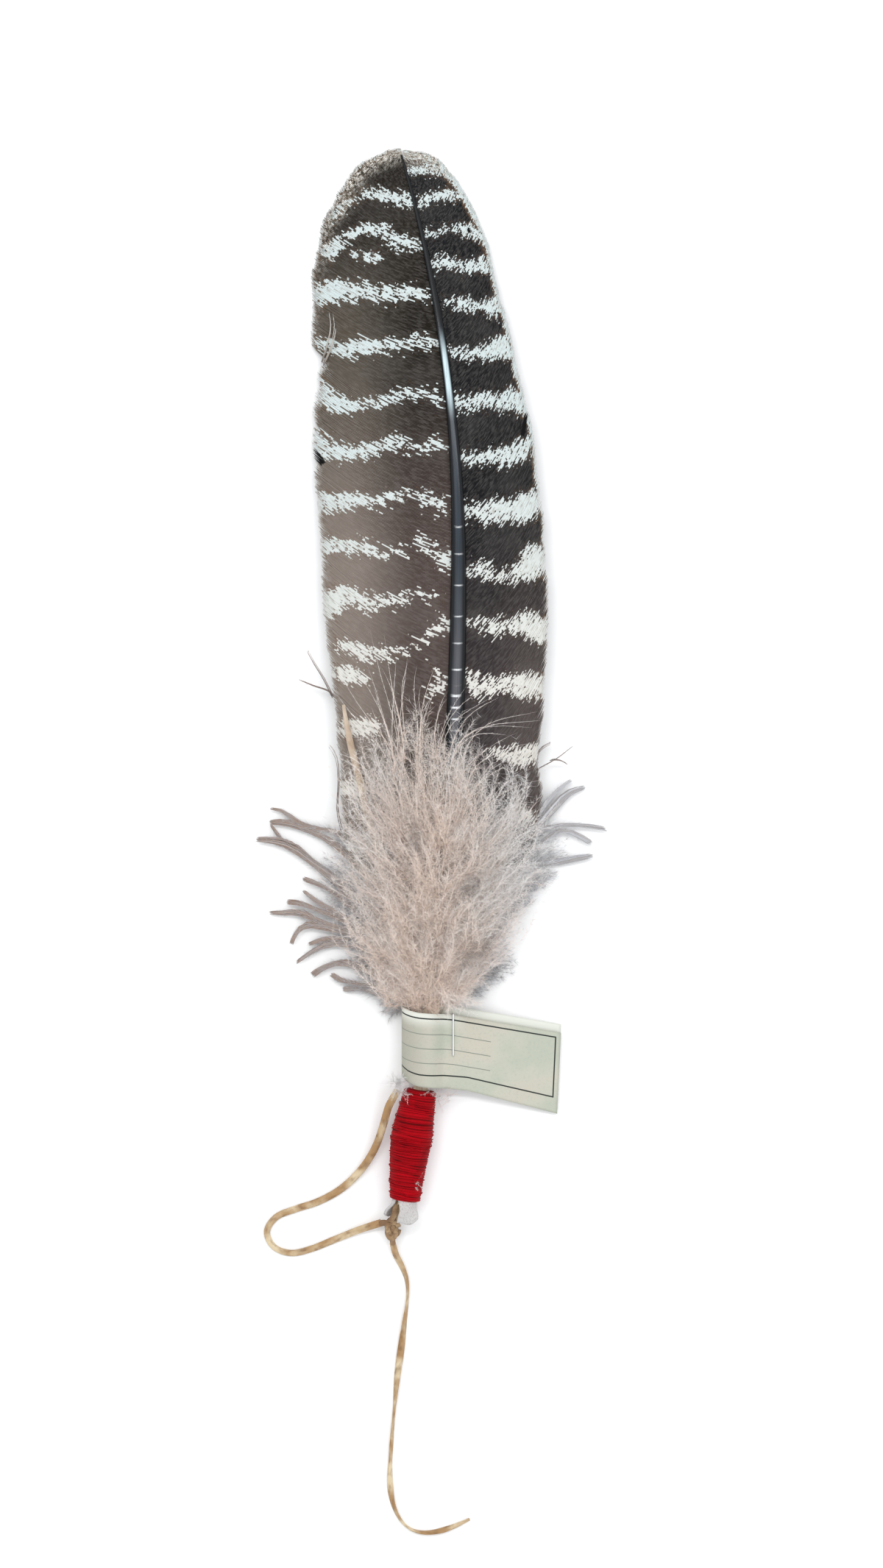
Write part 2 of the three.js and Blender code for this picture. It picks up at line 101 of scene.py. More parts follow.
def between(at: Floats, count: int) -> tuple[Floats, Floats]:
    """Splits places in a list of count values into the number below each and the share past it."""
    low = at.astype(int).clip(0, count - 2)
    return low, at - low


def lengths_along(line: Floats) -> Floats:
    """How far along its own length each point of a line is."""
    return np.concatenate([[0.0], np.cumsum(np.linalg.norm(np.diff(line, axis=0), axis=1))])


def bend(start: Floats, bow: Floats, end: Floats, t: Floats) -> Floats:
    """Bends lines from their starts to their ends towards the points of bow, at the shares t."""
    return start[:, None] * (1 - t) ** 2 + 2 * bow[:, None] * t * (1 - t) + end[:, None] * t**2


def wander(rng: Rng, count: int, step: float) -> Floats:
    """Makes a smooth random line of values between -1 and 1.

    Args:
        rng: The seeded source of numbers.
        count: How many values the line has.
        step: How many values lie between two of its random knots.

    Returns:
        An array of count values.
    """
    knots = rng.uniform(-1.0, 1.0, int(count / step) + 3)
    low, share = between(np.arange(count) / step, len(knots))
    share = smoothstep(0.0, 1.0, share)
    return knots[low] * (1.0 - share) + knots[low + 1] * share


def spline(points: Sequence[Sequence[float]], count: int) -> Floats:
    """Runs a smooth curve through points and spaces its samples evenly.

    Args:
        points: The points that it passes through.
        count: How many samples to return.

    Returns:
        An array of count points.
    """
    knots = np.asarray(points, float)
    before = 2 * knots[0] - knots[1]
    after = 2 * knots[-1] - knots[-2]
    knots = np.vstack([before, knots, after])
    share = np.linspace(0.0, 1.0, 24, endpoint=False)[:, None]
    runs = []
    for a, b, c, d in zip(knots, knots[1:], knots[2:], knots[3:]):
        runs.append(
            0.5
            * (
                2 * b
                + (c - a) * share
                + (2 * a - 5 * b + 4 * c - d) * share**2
                + (3 * b - a - 3 * c + d) * share**3
            )
        )
    dense = np.vstack([*runs, knots[-2:-1]])
    length = lengths_along(dense)
    return read_at(dense, length, np.linspace(0.0, length[-1], count))


def finish_piece(piece: Piece, nodes: Sequence[str]) -> None:
    """Hands a finished piece to the frame: its body and the nodes it stands for.

    Args:
        piece: The piece.
        nodes: The nodes it stands for.
    """
    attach(piece, BODY)
    if nodes:
        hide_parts(*nodes)
    LOG.info("%s: %d faces", piece.name, len(piece.data.polygons))


def new_object(name: str, mesh: bpy.types.Mesh) -> Piece:
    """Puts a mesh into the scene as an object at the origin.

    Args:
        name: The object's name.
        mesh: Its mesh.

    Returns:
        The new object.
    """
    piece = bpy.data.objects.new(name, mesh)
    bpy.context.scene.collection.objects.link(piece)
    return piece


def add_values(mesh: bpy.types.Mesh, named: dict[str, Floats]) -> None:
    """Writes named numbers on a mesh's corners, for its material.

    Args:
        mesh: The mesh.
        named: Each name's numbers, one a corner.
    """
    for key, numbers in named.items():
        layer = mesh.attributes.new(key, "FLOAT", "POINT")
        layer.data.foreach_set("value", np.asarray(numbers, np.float32).ravel())


def set_corners(work: WorkMesh, corners: Floats) -> None:
    """Moves a work mesh's corners to places given in millimetres."""
    for vert, at in zip(work.verts, Unit.place(corners)):
        vert.co = at


def smooth_object(name: str, work: WorkMesh) -> Piece:
    """Turns a work mesh into a smooth-shaded object.

    Args:
        name: The object's name.
        work: The work mesh, which is freed.

    Returns:
        The new object.
    """
    mesh = bpy.data.meshes.new(name)
    work.to_mesh(mesh)
    work.free()
    mesh.shade_smooth()
    return new_object(name, mesh)


def flat_sheet(across: int, down: int) -> tuple[WorkMesh, Floats, Floats]:
    """Starts a sheet as a flat grid with a UV map.

    Args:
        across: How many faces it has across.
        down: How many faces it has down.

    Returns:
        The work mesh, and the share across and the share down of each corner, from 0 to 1.
    """
    work = bmesh.new()
    bmesh.ops.create_grid(work, x_segments=across, y_segments=down, size=0.5)
    sheet = work.loops.layers.uv.new("UVMap")
    for face in work.faces:
        for corner in face.loops:
            corner[sheet].uv = (corner.vert.co.x + 0.5, corner.vert.co.y + 0.5)
    start = np.array([v.co for v in work.verts])
    return work, start[:, 0] + 0.5, start[:, 1] + 0.5


def strips_object(
    name: str, corners: Floats, quads: Floats, values: dict[str, Floats], maps: dict[str, Floats]
) -> Piece:
    """Joins many small repeated shapes into one mesh from arrays.

    Args:
        name: The piece's name.
        corners: Every corner in millimetres.
        quads: Four corner numbers a face. A triangle repeats its last corner.
        values: Named numbers, one a corner, that the materials read.
        maps: Named UV maps, each with a pair of numbers a corner.

    Returns:
        The new object.
    """
    triangle = quads[:, 2] == quads[:, 3]
    sizes = np.where(triangle, 3, 4)
    keep = np.ones(quads.shape, bool)
    keep[triangle, 3] = False
    loops = quads[keep]
    mesh = bpy.data.meshes.new(name)
    mesh.vertices.add(len(corners))
    mesh.vertices.foreach_set("co", Unit.place(corners).astype(np.float32).ravel())
    mesh.loops.add(len(loops))
    mesh.loops.foreach_set("vertex_index", loops.astype(np.int32))
    mesh.polygons.add(len(quads))
    starts = np.concatenate([[0], np.cumsum(sizes)[:-1]])
    mesh.polygons.foreach_set("loop_start", starts.astype(np.int32))
    mesh.update(calc_edges=True)
    add_values(mesh, values)
    for key, pairs in maps.items():
        layer = mesh.uv_layers.new(name=key)
        layer.data.foreach_set("uv", np.asarray(pairs, np.float32)[loops].ravel())
    mesh.validate()
    return new_object(name, mesh)


def bent_tube(name: str, sides: int, cuts: int, place: Place) -> tuple[Piece, Floats, Floats]:
    """Bends a straight round bar into a piece.

    Args:
        name: The piece's name.
        sides: How many faces it has around.
        cuts: How many times it is divided along its length.
        place: Gives the corners in millimetres for arrays of shares along (0 to 1) and of angles.

    Returns:
        The new object, smooth shaded, with a UV map of shares along and around, and each corner's share
        along and angle.
    """
    work = bmesh.new()
    bmesh.ops.create_cone(work, cap_ends=True, segments=sides, radius1=1, radius2=1, depth=1)
    along = [e for e in work.edges if abs(e.verts[0].co.z - e.verts[1].co.z) > 0.5]
    bmesh.ops.subdivide_edges(work, edges=along, cuts=cuts, use_grid_fill=True)
    start = np.array([v.co for v in work.verts])
    share = start[:, 2] + 0.5
    angle = np.arctan2(start[:, 1], start[:, 0])
    around_map = work.loops.layers.uv.new("UVMap")
    for face in work.faces:
        turns = [math.atan2(c.vert.co.y, c.vert.co.x) / math.tau for c in face.loops]
        wraps = max(turns) - min(turns) > 0.5 and len(face.verts) == 4
        for corner, turn in zip(face.loops, turns):
            turn += 1.0 if wraps and turn < 0 else 0.0
            corner[around_map].uv = (corner.vert.co.z + 0.5, turn + 0.5)
    set_corners(work, place(share, angle))
    bmesh.ops.recalc_face_normals(work, faces=work.faces)
    return smooth_object(name, work), share, angle


def along_path(points: Floats, share: Floats) -> tuple[Floats, Floats, Floats, Floats]:
    """Finds places on a path and the directions across it there.

    Args:
        points: The path's evenly spaced points.
        share: How far along each place is, from 0 to 1.

    Returns:
        The places, and the unit directions along, level across, and up from the path.
    """
    steps = np.linspace(0.0, 1.0, len(points))
    forward = unit(read_at(np.gradient(points, axis=0), steps, share))
    level = unit(np.cross(np.array([0.0, 0.0, 1.0]), forward))
    return read_at(points, steps, share), forward, level, np.cross(forward, level)


def beside_path(points: Floats, share: Floats, across: Floats, rise: Floats) -> Floats:
    """Finds places beside a path, level across and up from it, that don't sink into the surface.

    Args:
        points: The path's points.
        share: How far along it, from 0 to 1.
        across: How far to the side of it.
        rise: How far up from it.

    Returns:
        The places.
    """
    at, _, level, up = along_path(points, share)
    at = at + level * across[:, None] + up * rise[:, None]
    at[:, 2] = np.maximum(at[:, 2], 0.03)
    return at


class Shader:
    """Builds one material's nodes around its Principled shader."""

    def __init__(self, name: str, roughness: float, specular: float = 0.5) -> None:
        """Starts a material.

        Args:
            name: The material's name.
            roughness: How matt it is, from 0 to 1.
            specular: Its specular level.
        """
        self.material = bpy.data.materials.new(name)
        self.material.use_nodes = True
        self.tree = self.material.node_tree
        self.surface = self.tree.nodes["Principled BSDF"]
        self.set("Roughness", roughness)
        self.set("Specular IOR Level", specular)

    def set(self, name: str, number: float) -> None:
        """Sets one of the surface's own numbers."""
        self.surface.inputs[name].default_value = number

    def node(self, kind: str, **settings: object) -> bpy.types.Node:
        """Adds a node and sets its properties.

        Args:
            kind: The node's type.
            settings: Its properties.

        Returns:
            The new node.
        """
        made = self.tree.nodes.new(kind)
        for key, value in settings.items():
            setattr(made, key, value)
        return made

    def feed(self, socket: Socket, value: object) -> None:
        """Links a socket to another, or sets it to a number or colour.

        Args:
            socket: The input.
            value: A socket, a number or a colour.
        """
        if isinstance(value, Socket):
            self.tree.links.new(value, socket)
        elif isinstance(value, tuple) and len(value) == 3 and socket.type == "RGBA":
            socket.default_value = (*value, 1.0)
        else:
            socket.default_value = value

    def value(self, name: str) -> Socket:
        """Reads one of the mesh's named numbers."""
        return self.node("ShaderNodeAttribute", attribute_name=name).outputs["Fac"]

    def place(self) -> Socket:
        """Reads the place on the object, in metres."""
        return self.node("ShaderNodeTexCoord").outputs["Object"]

    def axis(self, name: str) -> Socket:
        """Reads the x, y or z of the place on the object.

        Args:
            name: X, Y or Z.

        Returns:
            The coordinate, in metres.
        """
        split = self.node("ShaderNodeSeparateXYZ")
        self.feed(split.inputs[0], self.place())
        return split.outputs[name]

    def uv(self) -> Socket:
        """Reads the piece's own UV map."""
        return self.node("ShaderNodeUVMap", uv_map="UVMap").outputs["UV"]

    def stretch(self, vector: object, scale: tuple[float, float, float]) -> Socket:
        """Scales a vector before a pattern reads it.

        Args:
            vector: The vector.
            scale: How much along x, y and z.

        Returns:
            The scaled vector.
        """
        mapping = self.node("ShaderNodeMapping")
        self.feed(mapping.inputs["Vector"], vector)
        mapping.inputs["Scale"].default_value = scale
        return mapping.outputs["Vector"]

    def noise(self, vector: object, scale: float, detail: float = 3.0) -> Socket:
        """Adds a noise pattern with values about 0.5.

        Args:
            vector: Where the pattern is read.
            scale: How fine it is.
            detail: How many finer patterns it has in it.

        Returns:
            The pattern.
        """
        made = self.node("ShaderNodeTexNoise")
        self.feed(made.inputs["Vector"], vector)
        made.inputs["Scale"].default_value = scale
        made.inputs["Detail"].default_value = detail
        return made.outputs["Fac"]

    def streaks(self, scale: tuple[float, float, float], detail: float = 3.0) -> Socket:
        """Adds a noise pattern stretched over the piece's own UV map."""
        return self.noise(self.stretch(self.uv(), scale), 1.0, detail)

    def math(self, operation: str, a: object, b: object = 0.0) -> Socket:
        """Adds an arithmetic step.

        Args:
            operation: The step's name.
            a: Its first value.
            b: Its second.

        Returns:
            The result.
        """
        made = self.node("ShaderNodeMath", operation=operation)
        self.feed(made.inputs[0], a)
        self.feed(made.inputs[1], b)
        return made.outputs[0]

    def times(self, a: object, b: object) -> Socket:
        """Multiplies two values."""
        return self.math("MULTIPLY", a, b)

    def plus(self, a: object, b: object) -> Socket:
        """Adds two values."""
        return self.math("ADD", a, b)

    def minus(self, a: object, b: object) -> Socket:
        """Takes b from a."""
        return self.math("SUBTRACT", a, b)

    def ramp(self, value: object, low: float, high: float) -> Socket:
        """Turns low to high into 0 to 1, smoothly.

        Args:
            value: The value.
            low: What becomes 0.
            high: What becomes 1.

        Returns:
            The new value.
        """
        made = self.node("ShaderNodeMapRange", interpolation_type="SMOOTHSTEP")
        self.feed(made.inputs["Value"], value)
        made.inputs["From Min"].default_value = low
        made.inputs["From Max"].default_value = high
        return made.outputs["Result"]

    def mix(self, share: object, a: object, b: object) -> Socket:
        """Blends from colour a to colour b.

        Args:
            share: How much of b, from 0 to 1.
            a: The first colour.
            b: The second.

        Returns:
            The blended colour.
        """
        made = self.node("ShaderNodeMix", data_type="RGBA")
        self.feed(made.inputs["Factor"], share)
        self.feed(made.inputs[6], a)
        self.feed(made.inputs[7], b)
        return made.outputs[2]

    def toward(
        self, colour: object, other: object, pattern: object, low: float, high: float, most: float = 1.0
    ) -> Socket:
        """Blends a colour towards another one by a pattern.

        Args:
            colour: The colour.
            other: The other colour.
            pattern: The pattern.
            low: The pattern's value where the blend starts.
            high: The pattern's value where it is fullest.
            most: How full it gets, from 0 to 1.

        Returns:
            The blended colour.
        """
        share = self.ramp(pattern, low, high)
        return self.mix(share if most == 1.0 else self.times(share, most), colour, other)

    def bump(self, height: object, strength: float, distance: float) -> None:
        """Raises the surface by a pattern.

        Args:
            height: The pattern.
            strength: How strong it is, from 0 to 1.
            distance: How high it stands, in metres.
        """
        made = self.node("ShaderNodeBump")
        made.inputs["Strength"].default_value = strength
        made.inputs["Distance"].default_value = distance
        self.feed(made.inputs["Height"], height)
        self.feed(self.surface.inputs["Normal"], made.outputs["Normal"])

    def colour(self, value: object) -> None:
        """Sets the base colour."""
        self.feed(self.surface.inputs["Base Color"], value)


def tone(red: int, green: int, blue: int) -> Colour:
    """Turns a colour as a screen shows it, 0 to 255, into the linear one that a shader takes.

    Args:
        red: Its red.
        green: Its green.
        blue: Its blue.

    Returns:
        The linear colour.
    """
    def linear(level: int) -> float:
        """Turns one level into its share of the light."""
        share = level / 255.0
        return share / 12.92 if share <= 0.04045 else ((share + 0.055) / 1.055) ** 2.4

    return linear(red), linear(green), linear(blue)


@dataclass(frozen=True)
class VaneFinish:
    """The barred vane: dark ground with pale streaks of random tone and painted sheen, white bars torn into
    streaks along the barbs, a pale rim, and painted shadow in the gaps between barbs.
    """

    name: str
    inner_tip: Colour
    inner_low: Colour
    outer_tip: Colour
    outer_low: Colour
    rim_white: float
    fade: tuple[float, float] = (0.03, 0.1)
    bar_tip: Colour = tone(207, 217, 217)
    bar_low: Colour = tone(224, 221, 215)
    fringe: Colour = tone(112, 86, 64)
    speck: Colour = tone(146, 136, 122)
    # Near-black painted shadow for the gaps between barbs.
    painted_gap_shadow: Colour = tone(20, 18, 18)
    # Warm pale tint that paints sheen on the dark ground.
    painted_sheen: Colour = (1.0, 0.94, 0.88)

    def material(self) -> Material:
        """Builds the material.

        Returns:
            The material.
        """
        shader = Shader(self.name, roughness=0.6, specular=0.1)
        times, plus, minus, ramp, toward = shader.times, shader.plus, shader.minus, shader.ramp, shader.toward
        length, rim = shader.axis("Y"), shader.value("rim")
        fine = shader.streaks((17.0, 430.0, 1.0), 2.0)
        tuft = shader.streaks((9.0, 130.0, 1.0), 2.0)
        flick = shader.streaks((26.0, 300.0, 1.0), 1.0)
        mottle = shader.streaks((40.0, 170.0, 1.0))
        cloud = shader.noise(shader.place(), 70.0)
        inner = toward(self.inner_low, self.inner_tip, length, *self.fade)
        outer = toward(self.outer_low, self.outer_tip, length, *self.fade)
        ground = shader.mix(times(ramp(rim, 34.0, 10.0), ramp(length, 0.14, 0.1)), inner, outer)
        # The ground leans to the warm pale tint along barb streaks and noise patches: random barb tone and
        # painted sheen.
        pale = shader.mix(0.09, ground, self.painted_sheen)
        ground = toward(ground, pale, fine, 0.38, 0.68, 0.5)
        ground = toward(ground, pale, cloud, 0.45, 0.8, 0.3)
        bar = toward(self.bar_low, self.bar_tip, length, -0.03, 0.09)
        bar = toward(bar, self.speck, fine, 0.48, 0.68, 0.5)
        torn = plus(times(minus(fine, 0.5), 8.0), times(minus(tuft, 0.5), 5.5))
        torn = plus(torn, times(ramp(flick, 0.55, 0.67), 2.3))
        torn = times(torn, plus(times(ramp(rim, 8.0, 28.0), 0.5), 1.0))
        inside = minus(rim, times(ramp(length, 0.0, 0.09), self.rim_white))
        edge = plus(shader.value("bar"), torn)
        edge = shader.math("MINIMUM", edge, plus(inside, times(torn, 0.45)))
        brown = times(ramp(edge, 1.5, 0.1), shader.value("fringe"))
        colour = toward(shader.mix(brown, ground, self.fringe), bar, edge, 0.32, -0.32)
        flecked = toward(ground, self.speck, mottle, 0.36, 0.5)
        flecked = toward(flecked, self.bar_low, mottle, 0.47, 0.6)
        colour = shader.mix(times(shader.value("mottle"), ramp(tuft, 0.3, 0.55)), colour, flecked)
        # Painted shadow: the gaps between barbs are darkened to near black.
        colour = toward(colour, self.painted_gap_shadow, shader.value("gap"), 0.25, -0.1)
        shader.colour(colour)
        shader.bump(fine, 0.2, 0.0001)
        return shader.material


@dataclass(frozen=True)
class ShaftFinish:
    """The shaft: black horn at the tip, a painted highlight on the top of one stretch, grey with pale marks,
    and pale horn below.
    """

    black: Colour = tone(14, 17, 20)
    dark: Colour = tone(38, 48, 58)
    # Pale blue-white of the painted highlight on the shaft's top.
    painted_sheen: Colour = tone(188, 208, 214)
    side: Colour = tone(16, 15, 16)
    pith: Colour = tone(92, 91, 95)
    mark: Colour = tone(232, 234, 236)
    horn: Colour = tone(222, 205, 178)

    def material(self) -> Material:
        """Builds the material.

        Returns:
            The material.
        """
        shader = Shader("shaft_horn", roughness=0.45, specular=0.12)
        shader.set("Coat Weight", 0.25)
        shader.set("Coat Roughness", 0.15)
        times, ramp = shader.times, shader.ramp
        length, upper = shader.axis("Y"), shader.value("upper")
        grain = shader.noise(shader.stretch(shader.place(), (2600.0, 60.0, 900.0)), 1.0)
        middle = ramp(upper, 0.35, 0.9)
        body = shader.mix(times(middle, ramp(length, 0.108, 0.098)), self.black, self.dark)
        # Painted highlight: the top of one stretch of the shaft is painted pale blue-white.
        highlight_band = times(ramp(length, 0.104, 0.093), ramp(length, 0.076, 0.087))
        body = shader.mix(times(highlight_band, ramp(upper, 0.25, 0.7)), body, self.painted_sheen)
        body = shader.mix(times(middle, ramp(length, 0.045, -0.01)), body, self.pith)
        body = shader.mix(times(ramp(shader.value("mark"), 0.35, 0.8), middle), body, self.mark)
        body = shader.toward(body, self.horn, length, -0.055, -0.085)
        body = shader.toward(body, self.side, grain, 0.45, 0.7, 0.3)
        shader.colour(body)
        shader.bump(grain, 0.15, 0.0001)
        return shader.material


@dataclass(frozen=True)
class DownFinish:
    """Loose down: each hair runs from a deeper root to a pale tip, in one of two casts."""

    name: str
    root: Colour
    middle: Colour
    tip: Colour
    cool_middle: Colour
    cool_tip: Colour

    def material(self) -> Material:
        """Builds the material.

        Returns:
            The material.
        """
        shader = Shader(self.name, roughness=0.8, specular=0.15)
        shader.set("Sheen Weight", 0.6)
        shader.set("Sheen Roughness", 0.7)
        along = shader.value("along")
        warm = shader.toward(self.middle, self.tip, along, 0.25, 0.9)
        cool = shader.toward(self.cool_middle, self.cool_tip, along, 0.25, 0.9)
        colour = shader.mix(shader.value("cast"), warm, cool)
        colour = shader.toward(colour, self.root, along, 0.3, 0.0)
        shader.colour(shader.toward(colour, self.root, shader.value("shade"), 0.3, 0.9, 0.5))
        return shader.material


@dataclass(frozen=True)
class ThreadFinish:
    """Red sewing thread with a fine twist and a slight sheen, darkened between its turns as painted shade."""

    name: str = "red_thread"
    light: Colour = tone(147, 0, 11)
    bright: Colour = tone(171, 0, 16)
    dark: Colour = tone(86, 0, 4)

    def material(self) -> Material:
        """Builds the material.

        Returns:
            The material.
        """
        shader = Shader(self.name, roughness=0.7, specular=0.08)
        shader.set("Sheen Weight", 0.05)
        shader.set("Sheen Roughness", 0.4)
        fibre = shader.streaks((520.0, 46.0, 1.0), 4.0)
        patch = shader.noise(shader.place(), 230.0)
        red = shader.mix(shader.value("turn"), self.light, self.bright)
        red = shader.toward(red, self.dark, fibre, 0.5, 0.75, 0.6)
        # Painted shade: the red darkens in the grooves between turns.
        red = shader.toward(red, self.dark, shader.value("groove"), 0.6, 0.05)
        red = shader.toward(red, self.dark, patch, 0.5, 0.72, 0.35)
        shader.colour(red)
        shader.bump(fibre, 0.6, 0.00015)
        return shader.material


@dataclass(frozen=True)
class HideFinish:
    """Leather: suede nap or waxed lace, by its colours and grain."""

    name: str
    base: Colour
    light: Colour
    dark: Colour
    roughness: float
    grain: tuple[float, float, float] = (34.0, 4.0, 1.0)

    def material(self) -> Material:
        """Builds the material.

        Returns:
            The material.
        """
        shader = Shader(self.name, roughness=self.roughness, specular=0.3)
        shader.set("Sheen Weight", 0.2)
        nap = shader.streaks(self.grain, 5.0)
        patch = shader.noise(shader.place(), 120.0)
        colour = shader.toward(self.base, self.light, patch, 0.4, 0.65)
        shader.colour(shader.toward(colour, self.dark, nap, 0.45, 0.75, 0.7))
        shader.bump(nap, 0.5, 0.0002)
        return shader.material


@dataclass(frozen=True)
class PaperFinish:
    """Pale green-cream card with a printed border line and plain blank ruled lines, painted light near the
    top of its loop and painted shade where it turns round the quill.

    The lines are placed by the card's own measures, in millimetres from its edges.
    """

    card: Colour = tone(181, 184, 170)
    warm: Colour = tone(187, 182, 169)
    shade: Colour = tone(161, 167, 153)
    # The paler tone of the strip's back, also used as painted light near the top of the loop.
    inner: Colour = tone(212, 214, 205)
    # A darker tone painted as shade where the strip turns round the quill.
    fold: Colour = tone(146, 140, 130)
    ink: Colour = tone(46, 50, 48)
    rule: Colour = tone(128, 132, 124)
    border: float = 1.5
    border_low: float = 4.5
    low_slope: float = -0.026
    corner: tuple[float, float] = (1.36, 1.4)
    line_half: float = 0.19
    rules: tuple[float, ...] = (5.9, 10.0, 14.1)
    rule_half: float = 0.11
    rules_end: float = 20.0

    def line(self, shader: Shader, distance: object, at: object, half: float) -> Socket:
        """Draws a line where a distance is at a value."""
        gap = shader.math("ABSOLUTE", shader.math("SUBTRACT", distance, at))
        return shader.ramp(gap, half + 0.05, half - 0.03)

    def material(self) -> Material:
        """Builds the material.

        Returns:
            The material.
        """
        shader = Shader("tag_paper", roughness=0.8, specular=0.2)
        times, ramp, toward = shader.times, shader.ramp, shader.toward
        fibre = shader.noise(shader.place(), 1500.0, 4.0)
        cloud = shader.noise(shader.place(), 75.0, 4.0)
        top, low, end, face = (shader.value(name) for name in ("top", "low", "end", "face"))
        low_line = shader.plus(times(end, self.low_slope), self.border_low)
        inside = times(ramp(top, *self.corner), ramp(shader.minus(low, low_line), -0.14, -0.1))
        in_end = ramp(end, *self.corner)
        ink = times(self.line(shader, top, self.border, self.line_half), in_end)
        for distance, at, part in ((low, low_line, in_end), (end, self.border, inside)):
            ink = shader.math("MAXIMUM", ink, times(self.line(shader, distance, at, self.line_half), part))
        rule = self.line(shader, top, self.rules[0], self.rule_half)
        for at in self.rules[1:]:
            rule = shader.math("MAXIMUM", rule, self.line(shader, top, at, self.rule_half))
        rule = times(rule, ramp(end, self.rules_end, self.rules_end + 0.1))
        colour = toward(self.card, self.warm, cloud, 0.35, 0.7)
        colour = toward(colour, self.shade, cloud, 0.55, 0.35, 0.35)
        colour = toward(colour, self.shade, fibre, 0.5, 0.72, 0.35)
        colour = shader.mix(face, self.inner, colour)
        # Painted shade towards the loop, where the strip turns round the quill.
        colour = toward(colour, self.fold, end, 36.0, 46.0, 0.45)
        # Painted light near the top edge of the loop.
        colour = shader.mix(times(ramp(top, 5.0, 0.5), ramp(end, 26.0, 34.0)), colour, self.inner)
        colour = shader.mix(times(rule, face), colour, self.rule)
        shader.colour(shader.mix(times(ink, face), colour, self.ink))
        shader.bump(fibre, 0.3, 0.00005)
        return shader.material


@dataclass(frozen=True)
class SteelFinish:
    """Bright drawn wire."""

    dull: Colour = tone(206, 208, 212)
    bright: Colour = tone(240, 241, 243)

    def material(self) -> Material:
        """Builds the material.

        Returns:
            The material.
        """
        shader = Shader("staple_wire", roughness=0.32)
        shader.set("Metallic", 1.0)
        drawn = shader.streaks((3.0, 40.0, 1.0))
        shader.colour(shader.toward(self.dull, self.bright, drawn, 0.3, 0.7))
        shader.bump(drawn, 0.2, 0.00003)
        return shader.material


@dataclass(frozen=True)
class ShaftLine:
    """Where the shaft runs and how thick it is, as in the part's source."""

    tip_y: float = 151.0
    vane_tip_y: float = 152.9
    crest_y: float = 10.0
    wrap_top_y: float = -114.6
    quill_end_y: float = -147.0
    apex: tuple[float, float] = (7.6, 36.0)
    tip_bow: float = 16.2
    quill_bow: float = 15.7
    quill_bow_y: float = -146.0
    handle_z: float = 5.35
    crest_z: float = 11.8
    tip_z: float = 1.1

    @property
    def handle_slope(self) -> float:
        """How far the straight handle leans sideways for each millimetre along y."""
        apex_y = self.apex[1]
        return 2 * self.quill_bow * (apex_y - self.wrap_top_y) / (apex_y - self.quill_bow_y) ** 2

    def y(self, share: Floats) -> Floats:
        """The place along y at a share of the way from the quill's end to the tip."""
        return self.quill_end_y + (self.tip_y - self.quill_end_y) * share

    def x(self, y: Floats) -> Floats:
        """The shaft's sideways place.

        Args:
            y: Places along the feather, in millimetres.

        Returns:
            The shaft's x there.
        """
        y = np.asarray(y, float)
        apex_x, apex_y = self.apex
        upper = apex_x - self.tip_bow * ((y - apex_y) / (self.tip_y - apex_y)) ** 2
        curved = (apex_y - np.maximum(y, self.wrap_top_y)) / (apex_y - self.quill_bow_y)
        lower = apex_x - self.quill_bow * curved**2
        lower = lower - self.handle_slope * np.maximum(self.wrap_top_y - y, 0.0)
        return np.where(y > apex_y, upper, lower)

    def z(self, y: Floats) -> Floats:
        """The shaft's height.

        Args:
            y: Places along the feather, in millimetres.

        Returns:
            The shaft's z there.
        """
        y = np.asarray(y, float)
        rise = self.handle_z + (self.crest_z - self.handle_z) * smoothstep(self.wrap_top_y, self.crest_y, y)
        fall = np.maximum(y - self.crest_y, 0.0) / (self.vane_tip_y - self.crest_y)
        return rise - (self.crest_z - self.tip_z) * fall**2

    def radius(self, y: Floats) -> Floats:
        """The shaft's half-width, which narrows fastest above its middle.

        Args:
            y: Places along the feather, in millimetres.

        Returns:
            Half the shaft's width there.
        """
        stations = (-150.0, -114.6, -40.0, -5.0, 19.0, 37.0, 55.0, 77.0, 104.0, 125.0, 139.0, 151.0)
        halves = (2.0, 2.1, 2.45, 2.5, 2.3, 2.1, 1.75, 1.3, 1.05, 0.72, 0.46, 0.28)
        return np.interp(np.asarray(y, float), stations, halves)


SHAFT = ShaftLine()


@dataclass(frozen=True)
class Split:
    """A gap between barbs: its place along the roots, its depth as a share of a barb, its width."""

    at: float
    depth: float
    gap: float


